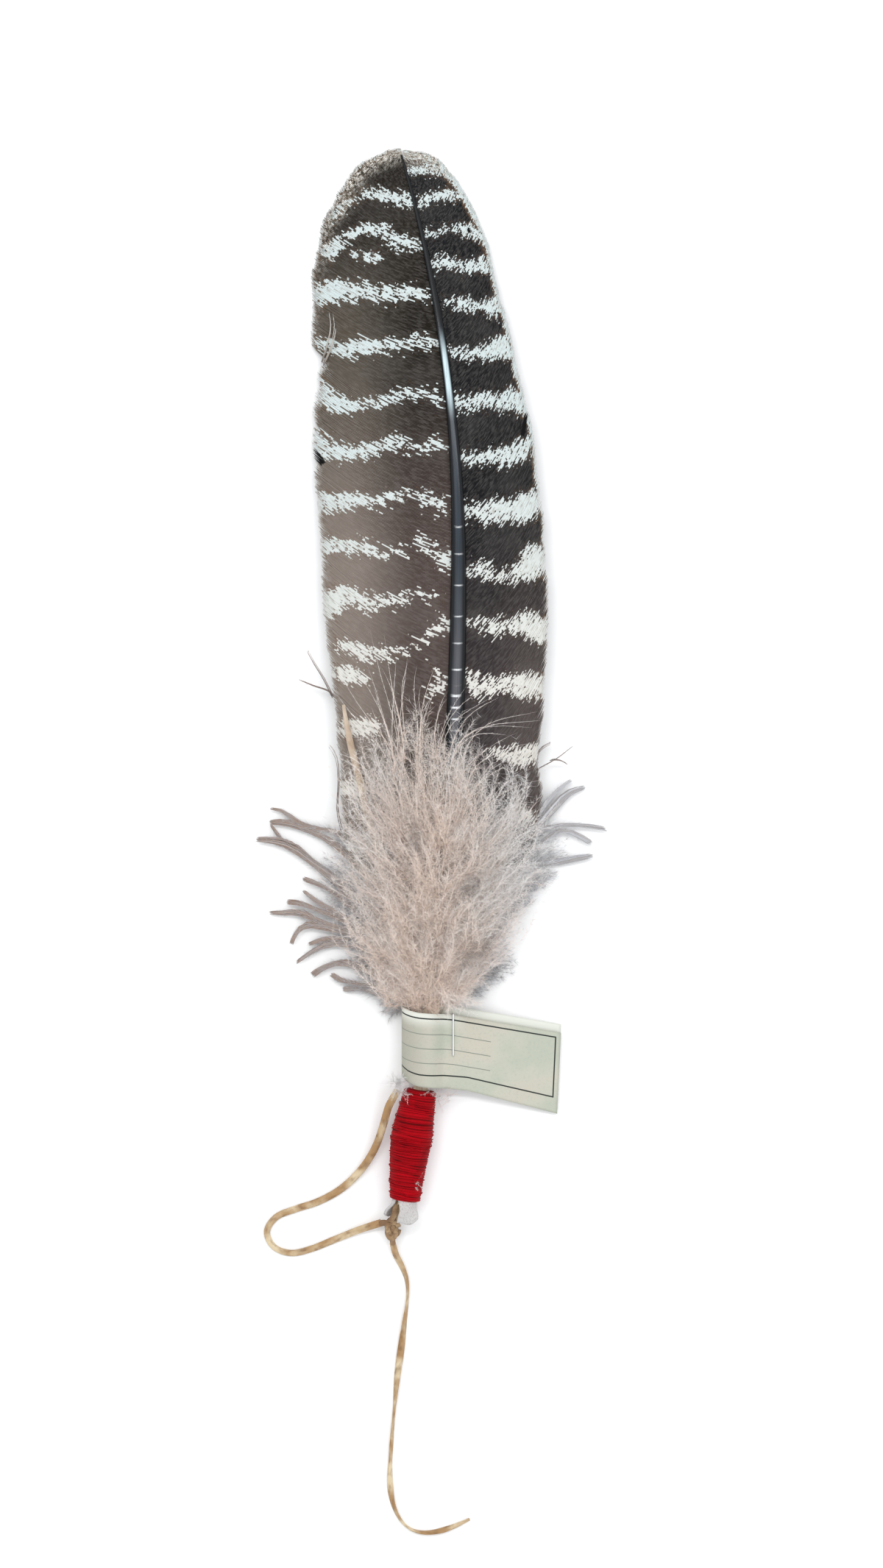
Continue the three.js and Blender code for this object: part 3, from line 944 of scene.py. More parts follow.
@dataclass
class Vane:
    """One vane: a row of barbs that lean towards the tip, each its own thin ridged strip."""

    name: str
    side: int
    width: float
    droop: float
    root_y: float
    slant: float
    outline: Sequence[tuple[float, float]]
    bars: Sequence[Bar]
    splits: Sequence[Split]
    finish: VaneFinish
    seed: int
    barbs: int = 520
    steps: int = 20
    last_root: float = 0.995
    barb_bow: float = 0.055
    overlap: float = 0.64
    ridge: float = 0.13
    # Lines between barbs that the material darkens as painted shadow.
    gap_shadows: Sequence[Bar] = ()
    mottled: tuple[float, float, float] = (106.0, 146.0, 0.5)

    @property
    def shares(self) -> Floats:
        """How far out along a barb each step is, a little closer together towards the rim."""
        return np.linspace(0.0, 1.0, self.steps + 1) ** 0.92

    def height(self, x: Floats, y: Floats) -> Floats:
        """The height of the vane's middle surface."""
        off = (x - SHAFT.x(y)) / self.width
        return SHAFT.z(y) - self.droop * off**2

    def plan(self, rng: Rng) -> Floats:
        """Lays the barbs out from above.

        Args:
            rng: The seeded source of numbers.

        Returns:
            x and y for every barb and step.
        """
        root = np.arange(self.barbs) / (self.barbs - 1) * self.last_root
        root_y = self.root_y + (SHAFT.tip_y - self.root_y) * root
        start = np.column_stack([SHAFT.x(root_y), root_y])
        rim = spline(self.outline, 1200)
        reach = np.clip(root + self.slant * np.sin(math.pi * root), 0.0, 1.0) * (len(rim) - 1)
        edge = read_at(rim, np.arange(len(rim)), reach)
        out = self.shares
        longest = 1.012
        length = 1.0 + 0.012 * wander(rng, self.barbs, 9.0) + 0.01 * rng.uniform(-1, 1, self.barbs)
        length = np.minimum(length, longest)
        chord = (edge - start) * length[:, None]
        across = np.column_stack([chord[:, 1], -chord[:, 0]]) * self.side
        bow = (4.0 * out * (1.0 - out) * self.barb_bow)[None, :, None]
        at = start[:, None] + chord[:, None] * out[None, :, None] + across[:, None] * bow
        parting = 0.014
        for split in self.splits:
            away = root - split.at
            fade = np.exp(-np.abs(away) / parting)[:, None]
            wide = smoothstep(1.0 - split.depth, 1.0, out)[None, :]
            at[:, :, 1] += 0.5 * split.gap * np.sign(away)[:, None] * fade * wide
        drift = 0.28 * wander(rng, self.barbs, 7.0) + 0.18 * wander(rng, self.barbs, 3.0)
        at[:, :, 1] += drift[:, None] * (out**3)[None, :]
        return at

    @staticmethod
    def to_bars(bars: Sequence[Bar], x: Floats, y: Floats) -> Floats:
        """How far each place is outside the nearest of the bars, negative inside it.

        Args:
            bars: The bars, each a line of x, y and half-width.
            x: The places' x.
            y: The places' y.

        Returns:
            The distances, in millimetres.
        """
        nearest = np.full(x.shape, 9.0)
        for bar in bars:
            for (ax, ay, a_half), (bx, by, b_half) in zip(bar, bar[1:]):
                run = (bx - ax, by - ay)
                share = ((x - ax) * run[0] + (y - ay) * run[1]) / (run[0] ** 2 + run[1] ** 2)
                share = np.clip(share, 0.0, 1.0)
                gap = np.hypot(x - ax - share * run[0], (y - ay - share * run[1]) * 1.15)
                nearest = np.minimum(nearest, gap - a_half - share * (b_half - a_half))
        return nearest

    def ragged(self, rng: Rng, out: Floats) -> Floats:
        """How far each barb's colour runs past the bar's even edge, in millimetres.

        Args:
            rng: The random numbers.
            out: The steps' shares of the way along a barb.

        Returns:
            The shift of each barb at each step.
        """
        shift = np.zeros((self.barbs, len(out)))
        lanes = 9
        low, share = between(np.interp(out, np.linspace(0, 1, lanes), np.arange(lanes)), lanes)
        for size, barb_step in ((0.5, 1.0), (0.5, 3.0), (0.45, 9.0)):
            lines = np.stack([wander(rng, self.barbs, barb_step) for _ in range(lanes)])
            shift += size * (lines[low] * (1 - share)[:, None] + lines[low + 1] * share[:, None]).T
        return shift

    @staticmethod
    def on_corners(values: Floats) -> Floats:
        """Gives the four corners at each step of each barb that step's value."""
        return np.repeat(values[:, :, None], 4, axis=2).ravel()

    def build(self) -> Piece:
        """Makes the vane's piece.

        Returns:
            The new object.
        """
        rng = np.random.default_rng(self.seed)
        at = self.plan(rng)
        out = self.shares
        x, y = at[:, :, 0], at[:, :, 1]
        tangent = unit(np.gradient(at, axis=1))
        across = self.side * np.stack([-tangent[:, :, 1], tangent[:, :, 0]], axis=2)
        spacing = np.abs(np.sum(np.gradient(at, axis=0) * across, axis=2)).clip(0.06, 0.62)
        taper = (1.0 - smoothstep(0.93, 1.0, out) * 0.72)[None, :]
        half = (self.overlap * spacing + 0.02) * taper
        z = self.height(x, y)
        z = z + 0.03 * (wander(rng, self.barbs, 9.0)[:, None] * out[None, :])
        ridge = self.ridge * taper * np.ones_like(z)
        corners = np.empty((self.barbs, self.steps + 1, 4, 3))
        for k, (sideways, rise) in enumerate(((-1.0, -0.02), (0.0, 1.0), (1.0, -0.5), (0.0, -1.1))):
            corners[:, :, k, :2] = at + across * (half * sideways)[:, :, None]
            corners[:, :, k, 2] = z + ridge * rise
        bar = self.to_bars(self.bars, x, y)
        # Distance to the lines of painted shadow between barbs.
        gap = self.to_bars(self.gap_shadows, x, y)
        to_rim = (1.0 - out)[None, :] * np.linalg.norm(at[:, -1] - at[:, 0], axis=1)[:, None]
        bar = bar + self.ragged(rng, out) * (0.55 + 0.45 * smoothstep(0.0, 12.0, to_rim))
        fringe = 0.2 + 0.7 * smoothstep(9.0, 0.0, to_rim)
        start, full, share = self.mottled
        mottle = smoothstep(6.5, 1.0, to_rim) * smoothstep(start, full, y)
        mottle = np.maximum(mottle, share * smoothstep(3.2, 0.4, to_rim))
        out_map = np.repeat(out[None, :], self.barbs, axis=0)[:, :, None] + np.zeros(4)
        root_map = np.repeat(np.linspace(0, 1, self.barbs)[:, None], self.steps + 1, axis=1)[:, :, None]
        lift = np.array([0.05, 0.5, 0.95, 0.5]) / self.barbs
        plain = np.stack([out_map, root_map + np.zeros(4)], axis=3)
        bake = np.stack([out_map, root_map * (1 - 1 / self.barbs) + lift], axis=3)
        numbers = {"bar": bar, "gap": gap, "rim": to_rim, "fringe": fringe, "mottle": mottle}
        piece = strips_object(
            self.name,
            corners.reshape(-1, 3),
            self.faces(),
            {key: self.on_corners(values) for key, values in numbers.items()},
            {"UVMap": plain.reshape(-1, 2), "OFBake": bake.reshape(-1, 2)},
        )
        piece.data.materials.append(self.finish.material())
        return piece

    def faces(self) -> Floats:
        """Numbers the faces of every barb's strip and of its two ends.

        Returns:
            The faces, as the numbers of their four corners.
        """
        barb = np.arange(self.barbs)[:, None, None]
        step = np.arange(self.steps)[None, :, None]
        side = np.arange(4)[None, None, :]
        here = (barb * (self.steps + 1) + step) * 4
        after = (side + 1) % 4
        quads = np.stack([here + side, here + after, here + 4 + after, here + 4 + side], axis=-1)
        ends = (np.arange(self.barbs) * (self.steps + 1) * 4)[:, None]
        first = ends + np.array([3, 2, 1, 0])
        last = ends + self.steps * 4 + np.array([0, 1, 2, 3])
        quads = np.vstack([quads.reshape(-1, 4), first, last])
        return quads[:, ::-1] if self.side < 0 else quads


@dataclass
class Feather:
    """The feather itself: its shaft and its two vanes."""

    nodes: tuple[str, ...] = ("turkey_feather",)
    flattening: float = 0.85
    marks: tuple[tuple[float, float], ...] = (
        (51.6, 0.4), (44.2, 0.7), (36.5, 0.7), (33.1, 0.4), (27.7, 0.7), (19.0, 0.7), (11.4, 0.7), (4.0, 0.8),
        (-0.4, 0.5), (-3.3, 1.0), (-6.6, 0.9), (-9.8, 0.8), (-13.0, 0.6),
    )

    def shaft(self) -> Piece:
        """Makes the shaft: flat-sided above, and grooved underneath along the vane.

        Returns:
            The new object.
        """
        def place(share: Floats, angle: Floats) -> Floats:
            """Finds places on the skin from the share of the length and the angle round it."""
            y = SHAFT.y(share)
            radius = SHAFT.radius(y)
            vaned = smoothstep(-75.0, -40.0, y)
            up, sideways = np.sin(angle), np.cos(angle)
            groove = 1.0 - 0.28 * vaned * np.exp(-((sideways / 0.35) ** 2)) * (up < 0)
            square = 1.0 + 0.10 * vaned * np.sin(2 * angle) ** 2
            x = SHAFT.x(y) + sideways * radius * square
            return np.column_stack([x, y, SHAFT.z(y) + 0.1 + up * radius * self.flattening * groove * square])

        piece, share, angle = bent_tube("feather_shaft", sides=20, cuts=640, place=place)
        y = SHAFT.y(share)
        mark = np.zeros(len(y))
        for at, strength in self.marks:
            dip = 0.6 * np.cos(angle) ** 2
            mark = np.maximum(mark, strength * np.exp(-(((y - at - dip) / 0.45) ** 2)))
        upper = np.where(np.sin(angle) > 0, 1.0 - np.abs(np.cos(angle)), 0.0)
        add_values(piece.data, {"upper": upper, "mark": mark})
        piece.data.materials.append(ShaftFinish().material())
        return piece

    def build(self) -> None:
        """Makes the shaft and the vanes and hands them over."""
        for piece in (self.shaft(), WIDE_VANE.build(), NARROW_VANE.build()):
            finish_piece(piece, self.nodes)


WIDE_VANE = Vane(
    name="wide_vane",
    side=-1,
    width=39,
    droop=7.4,
    root_y=-70,
    slant=0.015,
    seed=11,
    finish=VaneFinish(
        name="wide_vane_barbs",
        inner_tip=tone(31, 27, 22),
        inner_low=tone(80, 68, 64),
        outer_tip=tone(86, 79, 70),
        outer_low=tone(134, 123, 115),
        rim_white=0.6,
    ),
    outline=(
        (-24.3, -47.1), (-25.5, -38.3), (-25.9, -29.6), (-26.4, -19), (-27, -10.4), (-28, -0.4),
        (-29.3, 10), (-30.3, 18.8), (-30.9, 27.7), (-31.4, 39.4), (-32.2, 48.1), (-33, 59.8),
        (-33.9, 68.5), (-33.6, 74.6), (-33, 82.2), (-32.1, 88.2), (-31.1, 91.6), (-31.2, 93.8),
        (-33.6, 96.2), (-34.6, 100), (-33.9, 109.8), (-34.1, 115.6), (-33.2, 121.5), (-32.2, 129),
        (-30.1, 133.8), (-27.2, 139), (-23.6, 145.4), (-20.1, 149), (-15.5, 151), (-11.8, 152.5),
        (-7.9, 152.9),
    ),
    splits=(Split(0.376, 0.14, 0.8), Split(0.545, 0.14, 1.4)),
    gap_shadows=(((-33.7, 67.2, 0.6), (-31.3, 63.4, 1.1)),),
    bars=(
        ((-6.1, 137.3, 1.6), (-12.6, 139, 1.9), (-18.4, 140.4, 1)),
        ((-22, 138.3, 0.9), (-25.7, 135.6, 1.3), (-29.5, 133.5, 1.2)),
        ((-3.2, 124.6, 1.4), (-9.7, 126, 2.2), (-13.6, 129, 1.5), (-18.4, 129.8, 1.2),
         (-23, 127.9, 1.2), (-26.4, 125.6, 1.6), (-29.3, 123.8, 2.6)),
        ((-22, 122.5, 0.8), (-16.1, 121.2, 0.9)),
        ((-0.5, 109.2, 1.1), (-6.1, 111.5, 2), (-12.6, 110.2, 1.8), (-18.4, 112.1, 2.2),
         (-25.9, 112.1, 3.6), (-31.8, 111.5, 3.9)),
        ((0.5, 96, 1.2), (-3.9, 97.1, 1.7), (-9.7, 96.2, 1.7), (-15.5, 95.6, 2.2),
         (-21.4, 95.6, 2.8), (-26.6, 95.6, 2.2), (-31.8, 97.5, 1.4)),
        ((2, 80, 1.2), (-0.9, 82.3, 1), (-7.4, 82.3, 1.2), (-12.6, 81, 0.9),
         (-17.2, 79.8, 1.2), (-24.3, 78.8, 2.2), (-28.4, 80.4, 2.2), (-30.7, 82.3, 3.6)),
        ((1.6, 68.5, 1.4), (-3.9, 66.2, 1), (-10.7, 68.5, 1.8), (-18.4, 66.2, 2.2),
         (-27.2, 65.6, 2.4), (-32.4, 69.2, 3)),
        ((1.6, 51, 2), (-6.8, 54.6, 1.3), (-15.5, 51.7, 1), (-21.4, 52.7, 2.4),
         (-27.2, 51.7, 3), (-31.8, 52.1, 2.8)),
        ((4.5, 34.6, 2.2), (0.9, 36.9, 1.8), (-2.6, 39.8, 1.6)),
        ((-8.4, 38.1, 1.2), (-12.6, 36.5, 0.8), (-19.5, 38.8, 2.4), (-24.3, 39.4, 1.8), (-30.1, 39.4, 2.6)),
        ((0.3, 24.8, 1.4), (-4.9, 25.2, 0.6), (-8.4, 23.8, 1.2), (-14.3, 23.5, 0.9),
         (-18.4, 22.3, 1.8), (-23, 25.8, 2.6), (-28.4, 23.5, 4), (-30.1, 20, 2)),
        ((4.1, 17.1, 2.2), (1.6, 15.4, 1), (-2.6, 12.9, 0.6), (-4.9, 10.6, 0.5),
         (-8.4, 8.3, 0.9), (-14.3, 9, 1.8), (-20.1, 9.6, 2.6), (-24.9, 11.2, 1.8)),
        ((2.6, 1.9, 1.6), (0.9, -1.7, 1.5)),
        ((-27.4, 4, 2), (-23.2, 2.7, 2.8), (-19.7, 1.9, 1.8)),
        ((-23.9, -11.9, 2.4), (-17.2, -11.5, 2.8)),
        ((-25.9, -29.4, 2.4), (-20.7, -29.4, 3)),
        ((-24.9, -45.6, 2.4), (-20.7, -45.6, 2.4)),
    ),
)

NARROW_VANE = Vane(
    name="narrow_vane",
    side=1,
    width=25,
    droop=5,
    root_y=-80,
    slant=0.035,
    seed=23,
    mottled=(143, 149.5, 0.25),
    finish=VaneFinish(
        name="narrow_vane_barbs",
        inner_tip=tone(19, 20, 23),
        inner_low=tone(56, 50, 51),
        outer_tip=tone(30, 30, 31),
        outer_low=tone(78, 70, 68),
        rim_white=2.3,
        fade=(-0.005, 0.055),
    ),
    outline=(
        (28.9, -45.6), (31.4, -32.5), (30.3, -23.8), (30.7, -14.4), (31.6, -8.4), (31.9, -1.7),
        (32.4, 7.1), (32.8, 12.9), (32.8, 21.7), (32.6, 30.4), (31.8, 39.4), (31.4, 49.2),
        (30.1, 57.9), (28.9, 68.8), (28, 74.6), (26.4, 80.4), (24.9, 87.5), (23.4, 94.6),
        (22.2, 100.4), (20.7, 106.2), (18.6, 113.1), (16.8, 121.5), (15.5, 127.3), (13.2, 133.1),
        (10.7, 138.3), (7.8, 143), (4.7, 147.1), (2, 150), (-2.6, 151.9), (-8.9, 152.9),
    ),
    splits=(Split(0.448, 0.16, 0.8),),
    gap_shadows=(((26.9, 77.2, 0.35), (25.7, 70.8, 0.65)), ((10.4, 129.6, 0.6), (11, 128.8, 0.5))),
    bars=(
        ((-6.1, 146.6, 1.2), (-0.3, 146.8, 1.6), (5.5, 147.1, 1.2)),
        ((-3.2, 136.7, 1), (-0.9, 138.3, 1.2), (4.9, 139.6, 1.6), (9.7, 139.4, 1.2)),
        ((-1.4, 127.9, 0.9), (4.5, 129.6, 0.3), (7.8, 129.6, 1.6), (11.4, 129, 2.2), (14.3, 127.7, 1.4)),
        ((0.9, 119, 1.6), (4.5, 120.2, 1.2), (7.8, 119, 1.6), (11.4, 119, 2), (14.3, 119, 2.6)),
        ((4.7, 108.3, 1.2), (9.7, 107.9, 1.4), (13.6, 107.3, 1.2), (17.2, 107.3, 3.2)),
        ((5.5, 94, 1.2), (10.3, 93.3, 1.4), (12.6, 94, 1.4), (16.8, 94.6, 2.4), (20.1, 95.6, 4),
         (23, 94.6, 2.2)),
        ((2.8, 79, 0.8), (7.8, 79.4, 1.7), (10.7, 79.4, 2), (15.5, 80.4, 2), (19.7, 79.8, 2.6),
         (23, 81, 3.4), (24.9, 78.8, 2)),
        ((9.7, 63.5, 1.4), (13.6, 64.2, 1.8), (18.4, 64.4, 2.8), (23, 65, 2.8), (25.9, 67.3, 2.6),
         (27.8, 68.5, 1.8)),
        ((11.4, 48.8, 2.6), (16.8, 48.8, 3.5), (22, 49.2, 3.5), (25.9, 49.8, 4.4), (28.9, 52.1, 3.8)),
        ((11.4, 32.1, 1.4), (13.6, 32.5, 1.7), (18.4, 30.6, 1.6), (23, 30.8, 1.8), (26.6, 32.3, 3.5),
         (29.5, 35.2, 5.2)),
        ((12.6, 16.9, 1.4), (17.2, 16.2, 2), (23, 16.5, 2.6), (27.2, 17.1, 4), (30.7, 15.4, 4.2)),
        ((10.7, 1.9, 1.6), (13.6, -1, 3), (19.7, 0.2, 2.4), (25.5, -0.4, 3.5), (29.5, -0.4, 4.2)),
        ((16.8, -19, 1), (25.5, -20.2, 3.2), (29.5, -19, 3)),
        ((23.6, -37.7, 2.4), (26.1, -37.3, 2.8)),
        ((17, -50, 2.3), (19.7, -50, 2.3)),
    ),
)


@dataclass(frozen=True)
class Fuzz:
    """How the down barbs of one kind look: the stem, and the barbules along it.

    Lengths and widths are millimetres, and leans are degrees from the stem.
    """

    stem: float = 0.17
    barbules: int = 80
    reach: float = 2.6
    tip_reach: float = 0.8
    lean: tuple[float, float] = (18.0, 50.0)
    first: float = 0.04
    last: float = 0.97
    flat: float = 0.0
    thick: float = 0.085
    droop: float = 0.0


class DownMesh:
    """Collects barbs and barbules, then makes them one piece of closed three-sided spikes."""

    RINGS = 8
    SIDES = tuple(-math.pi / 2 + k * math.tau / 3 for k in range(3))

    def __init__(self, seed: int) -> None:
        """Starts an empty collection with its own seeded random numbers.

        Args:
            seed: The random numbers' seed.
        """
        self.rng = np.random.default_rng(seed)
        self.corners: list[Floats] = []
        self.quads: list[Floats] = []
        self.values: list[Floats] = []
        self.count = 0

    def keep(self, corners: Floats, quads: Floats, values: Floats) -> None:
        """Adds corners, faces and the along, cast and shade of each corner.

        Args:
            corners: The corners, in millimetres.
            quads: The faces, as corner numbers from 0.
            values: The along, cast and shade of each corner.
        """
        self.corners.append(corners.reshape(-1, 3))
        self.quads.append(quads + self.count)
        self.values.append(values.reshape(-1, 3))
        self.count += len(self.corners[-1])

    @staticmethod
    def directions(line: Floats) -> tuple[Floats, Floats, Floats]:
        """Finds the unit directions along, level across and up from lines of points.

        Args:
            line: The points of each line.

        Returns:
            The three directions at each point.
        """
        along = unit(np.gradient(line, axis=-2))
        level = unit(np.cross(along, [0.0, 0.0, 1.0]))
        return along, level, np.cross(level, along)

    @staticmethod
    def tints(along: Floats, cast: Floats, shade: Floats) -> Floats:
        """Joins the along of every point with the cast and the shade of its barb."""
        return np.stack([along, *(np.broadcast_to(v[:, None], along.shape) for v in (cast, shade))], axis=2)

    def stems(self, line: Floats, half: Floats, tint: Floats) -> None:
        """Adds stems, each a three-sided spike with a flat side up.

        Args:
            line: Every stem's points, as barb, ring and x, y, z.
            half: The half-width at each point.
            tint: The along, cast and shade at each point.
        """
        count, rings = half.shape
        _, level, up = self.directions(line)
        body = rings - 1
        corners = np.empty((count, body * 3 + 1, 3))
        values = np.empty((count, body * 3 + 1, 3))
        for k, angle in enumerate(self.SIDES):
            offset = level * math.cos(angle) + up * math.sin(angle)
            corners[:, k : body * 3 : 3] = (line + offset * half[:, :, None])[:, :body]
            values[:, k : body * 3 : 3] = tint[:, :body]
        corners[:, -1] = line[:, -1]
        values[:, -1] = tint[:, -1]
        first = (np.arange(count) * (body * 3 + 1))[:, None]
        quads = [first + np.array([0, 1, 2, 2])]
        for k in range(3):
            after = (k + 1) % 3
            for ring in range(0, body * 3 - 3, 3):
                quads.append(first + np.array([ring + after, ring + k, ring + 3 + k, ring + 3 + after]))
            last = body * 3 - 3
            quads.append(first + np.array([last + after, last + k, body * 3, body * 3]))
        self.keep(corners, np.vstack(quads), values)

    def barbules(self, line: Floats, tint: Floats, fuzz: Fuzz) -> None:
        """Adds barbules, each a single three-sided spike that leans out from its stem.

        Args:
            line: Every stem's points, as barb, ring and x, y, z.
            tint: The along, cast and shade at each point.
            fuzz: How many barbules there are, and how they look.
        """
        rng = self.rng
        count, rings = line.shape[:2]
        along, level, up = self.directions(line)
        share = rng.uniform(fuzz.first, fuzz.last, (count, fuzz.barbules))
        low, part = between(share * (rings - 1), rings)
        part = part[:, :, None]
        row = np.arange(count)[:, None]

        def read(values: Floats) -> Floats:
            """Reads the stems' values where their barbules stand."""
            return values[row, low] * (1 - part) + values[row, low + 1] * part

        turn = rng.uniform(0, math.tau, share.shape)
        turn = turn - fuzz.flat * 0.5 * np.sin(2 * turn)
        lean = np.radians(rng.uniform(*fuzz.lean, share.shape))[:, :, None]
        out = read(level) * np.cos(turn)[:, :, None] + read(up) * np.sin(turn)[:, :, None]
        way = read(along) * np.cos(lean) + out * np.sin(lean)
        way[:, :, 2] -= fuzz.droop
        reach = fuzz.reach + (fuzz.tip_reach - fuzz.reach) * share
        reach = reach * rng.uniform(0.45, 1.15, share.shape)
        base = read(line)
        side = unit(np.cross(way, [0.0, 0.0, 1.0]))
        rise = np.cross(side, way)
        corners = np.empty((*share.shape, 4, 3))
        half = 0.5 * fuzz.thick * rng.uniform(0.7, 1.2, share.shape)[:, :, None]
        for k, angle in enumerate(self.SIDES):
            corners[:, :, k] = base + (side * math.cos(angle) + rise * math.sin(angle)) * half
        corners[:, :, 3] = base + way * reach[:, :, None]
        values = np.repeat(read(tint)[:, :, None], 4, axis=2)
        values[:, :, 3, 0] += 0.25
        values[:, :, :, 2] += rng.normal(0, 0.16, share.shape)[:, :, None]
        first = (np.arange(share.size) * 4)[:, None]
        faces = [[0, 1, 2, 2], [1, 0, 3, 3], [2, 1, 3, 3], [0, 2, 3, 3]]
        quads = np.vstack([first + np.array(face) for face in faces])
        self.keep(corners, quads, values)

    def grow(self, line: Floats, cast: Floats, shade: Floats, fuzz: Fuzz) -> None:
        """Adds barbs with their barbules.

        Args:
            line: Every barb's points from root to tip.
            cast: Each barb's cast, from warm 0 to cool 1.
            shade: Each barb's darkness.
            fuzz: How they look.
        """
        count, rings = line.shape[:2]
        share = np.linspace(0.0, 1.0, rings)
        tint = self.tints(np.broadcast_to(share, (count, rings)), cast, shade)
        half = 0.5 * fuzz.stem * (1.0 - 0.8 * share**1.5)[None, :] * self.rng.uniform(0.7, 1.2, (count, 1))
        self.stems(line, half, tint)
        if fuzz.barbules:
            self.barbules(line, tint, fuzz)

    def build(
        self, name: str, finish: Material, slot: str, nodes: Sequence[str], **same: float
    ) -> None:
        """Makes the piece and hands it over.

        Args:
            name: Its name.
            finish: Its material.
            slot: Not used.
            nodes: The nodes that it stands for.
            same: Further named numbers, each the same all over the piece.
        """
        values = np.vstack(self.values)
        corners = np.vstack(self.corners)
        corners[:, 2] = np.maximum(corners[:, 2], 0.05)
        place = np.stack([values[:, 0].clip(0, 1), np.linspace(0, 1, self.count)], axis=1)
        named = {"along": values[:, 0], "cast": values[:, 1], "shade": values[:, 2]}
        named.update({key: np.full(self.count, number) for key, number in same.items()})
        piece = strips_object(name, corners, np.vstack(self.quads), named, {"UVMap": place})
        piece.data.materials.append(finish)
        finish_piece(piece, nodes)


@dataclass(frozen=True)
class Tuft:
    """A tuft of barbs that start together and end in one soft point, seen from above."""

    root: Spot
    tip: Spot
    lift: float
    barbs: int
    cast: float
    shade: float
    width: float = 3.0
    curve: float = 0.0


@dataclass(frozen=True)
class Layer:
    """One layer of the front plume: how many tufts, how far out they reach, and a few given one by one."""

    name: str
    seed: int
    tufts: int
    radii: tuple[float, float]
    barbs: int
    lift: float
    shade: float
    fuzz: Fuzz
    placed: tuple[Tuft, ...] = ()


@dataclass(frozen=True)
class Web:
    """The loose web between and behind the locks on one side.

    Its barbs start between the two roots and end on the outline of tips, given from the top down.
    """

    side: int
    roots: tuple[Spot, Spot]
    tips: tuple[Spot, ...]
    cast: float
    barbs: int
    darkest: float


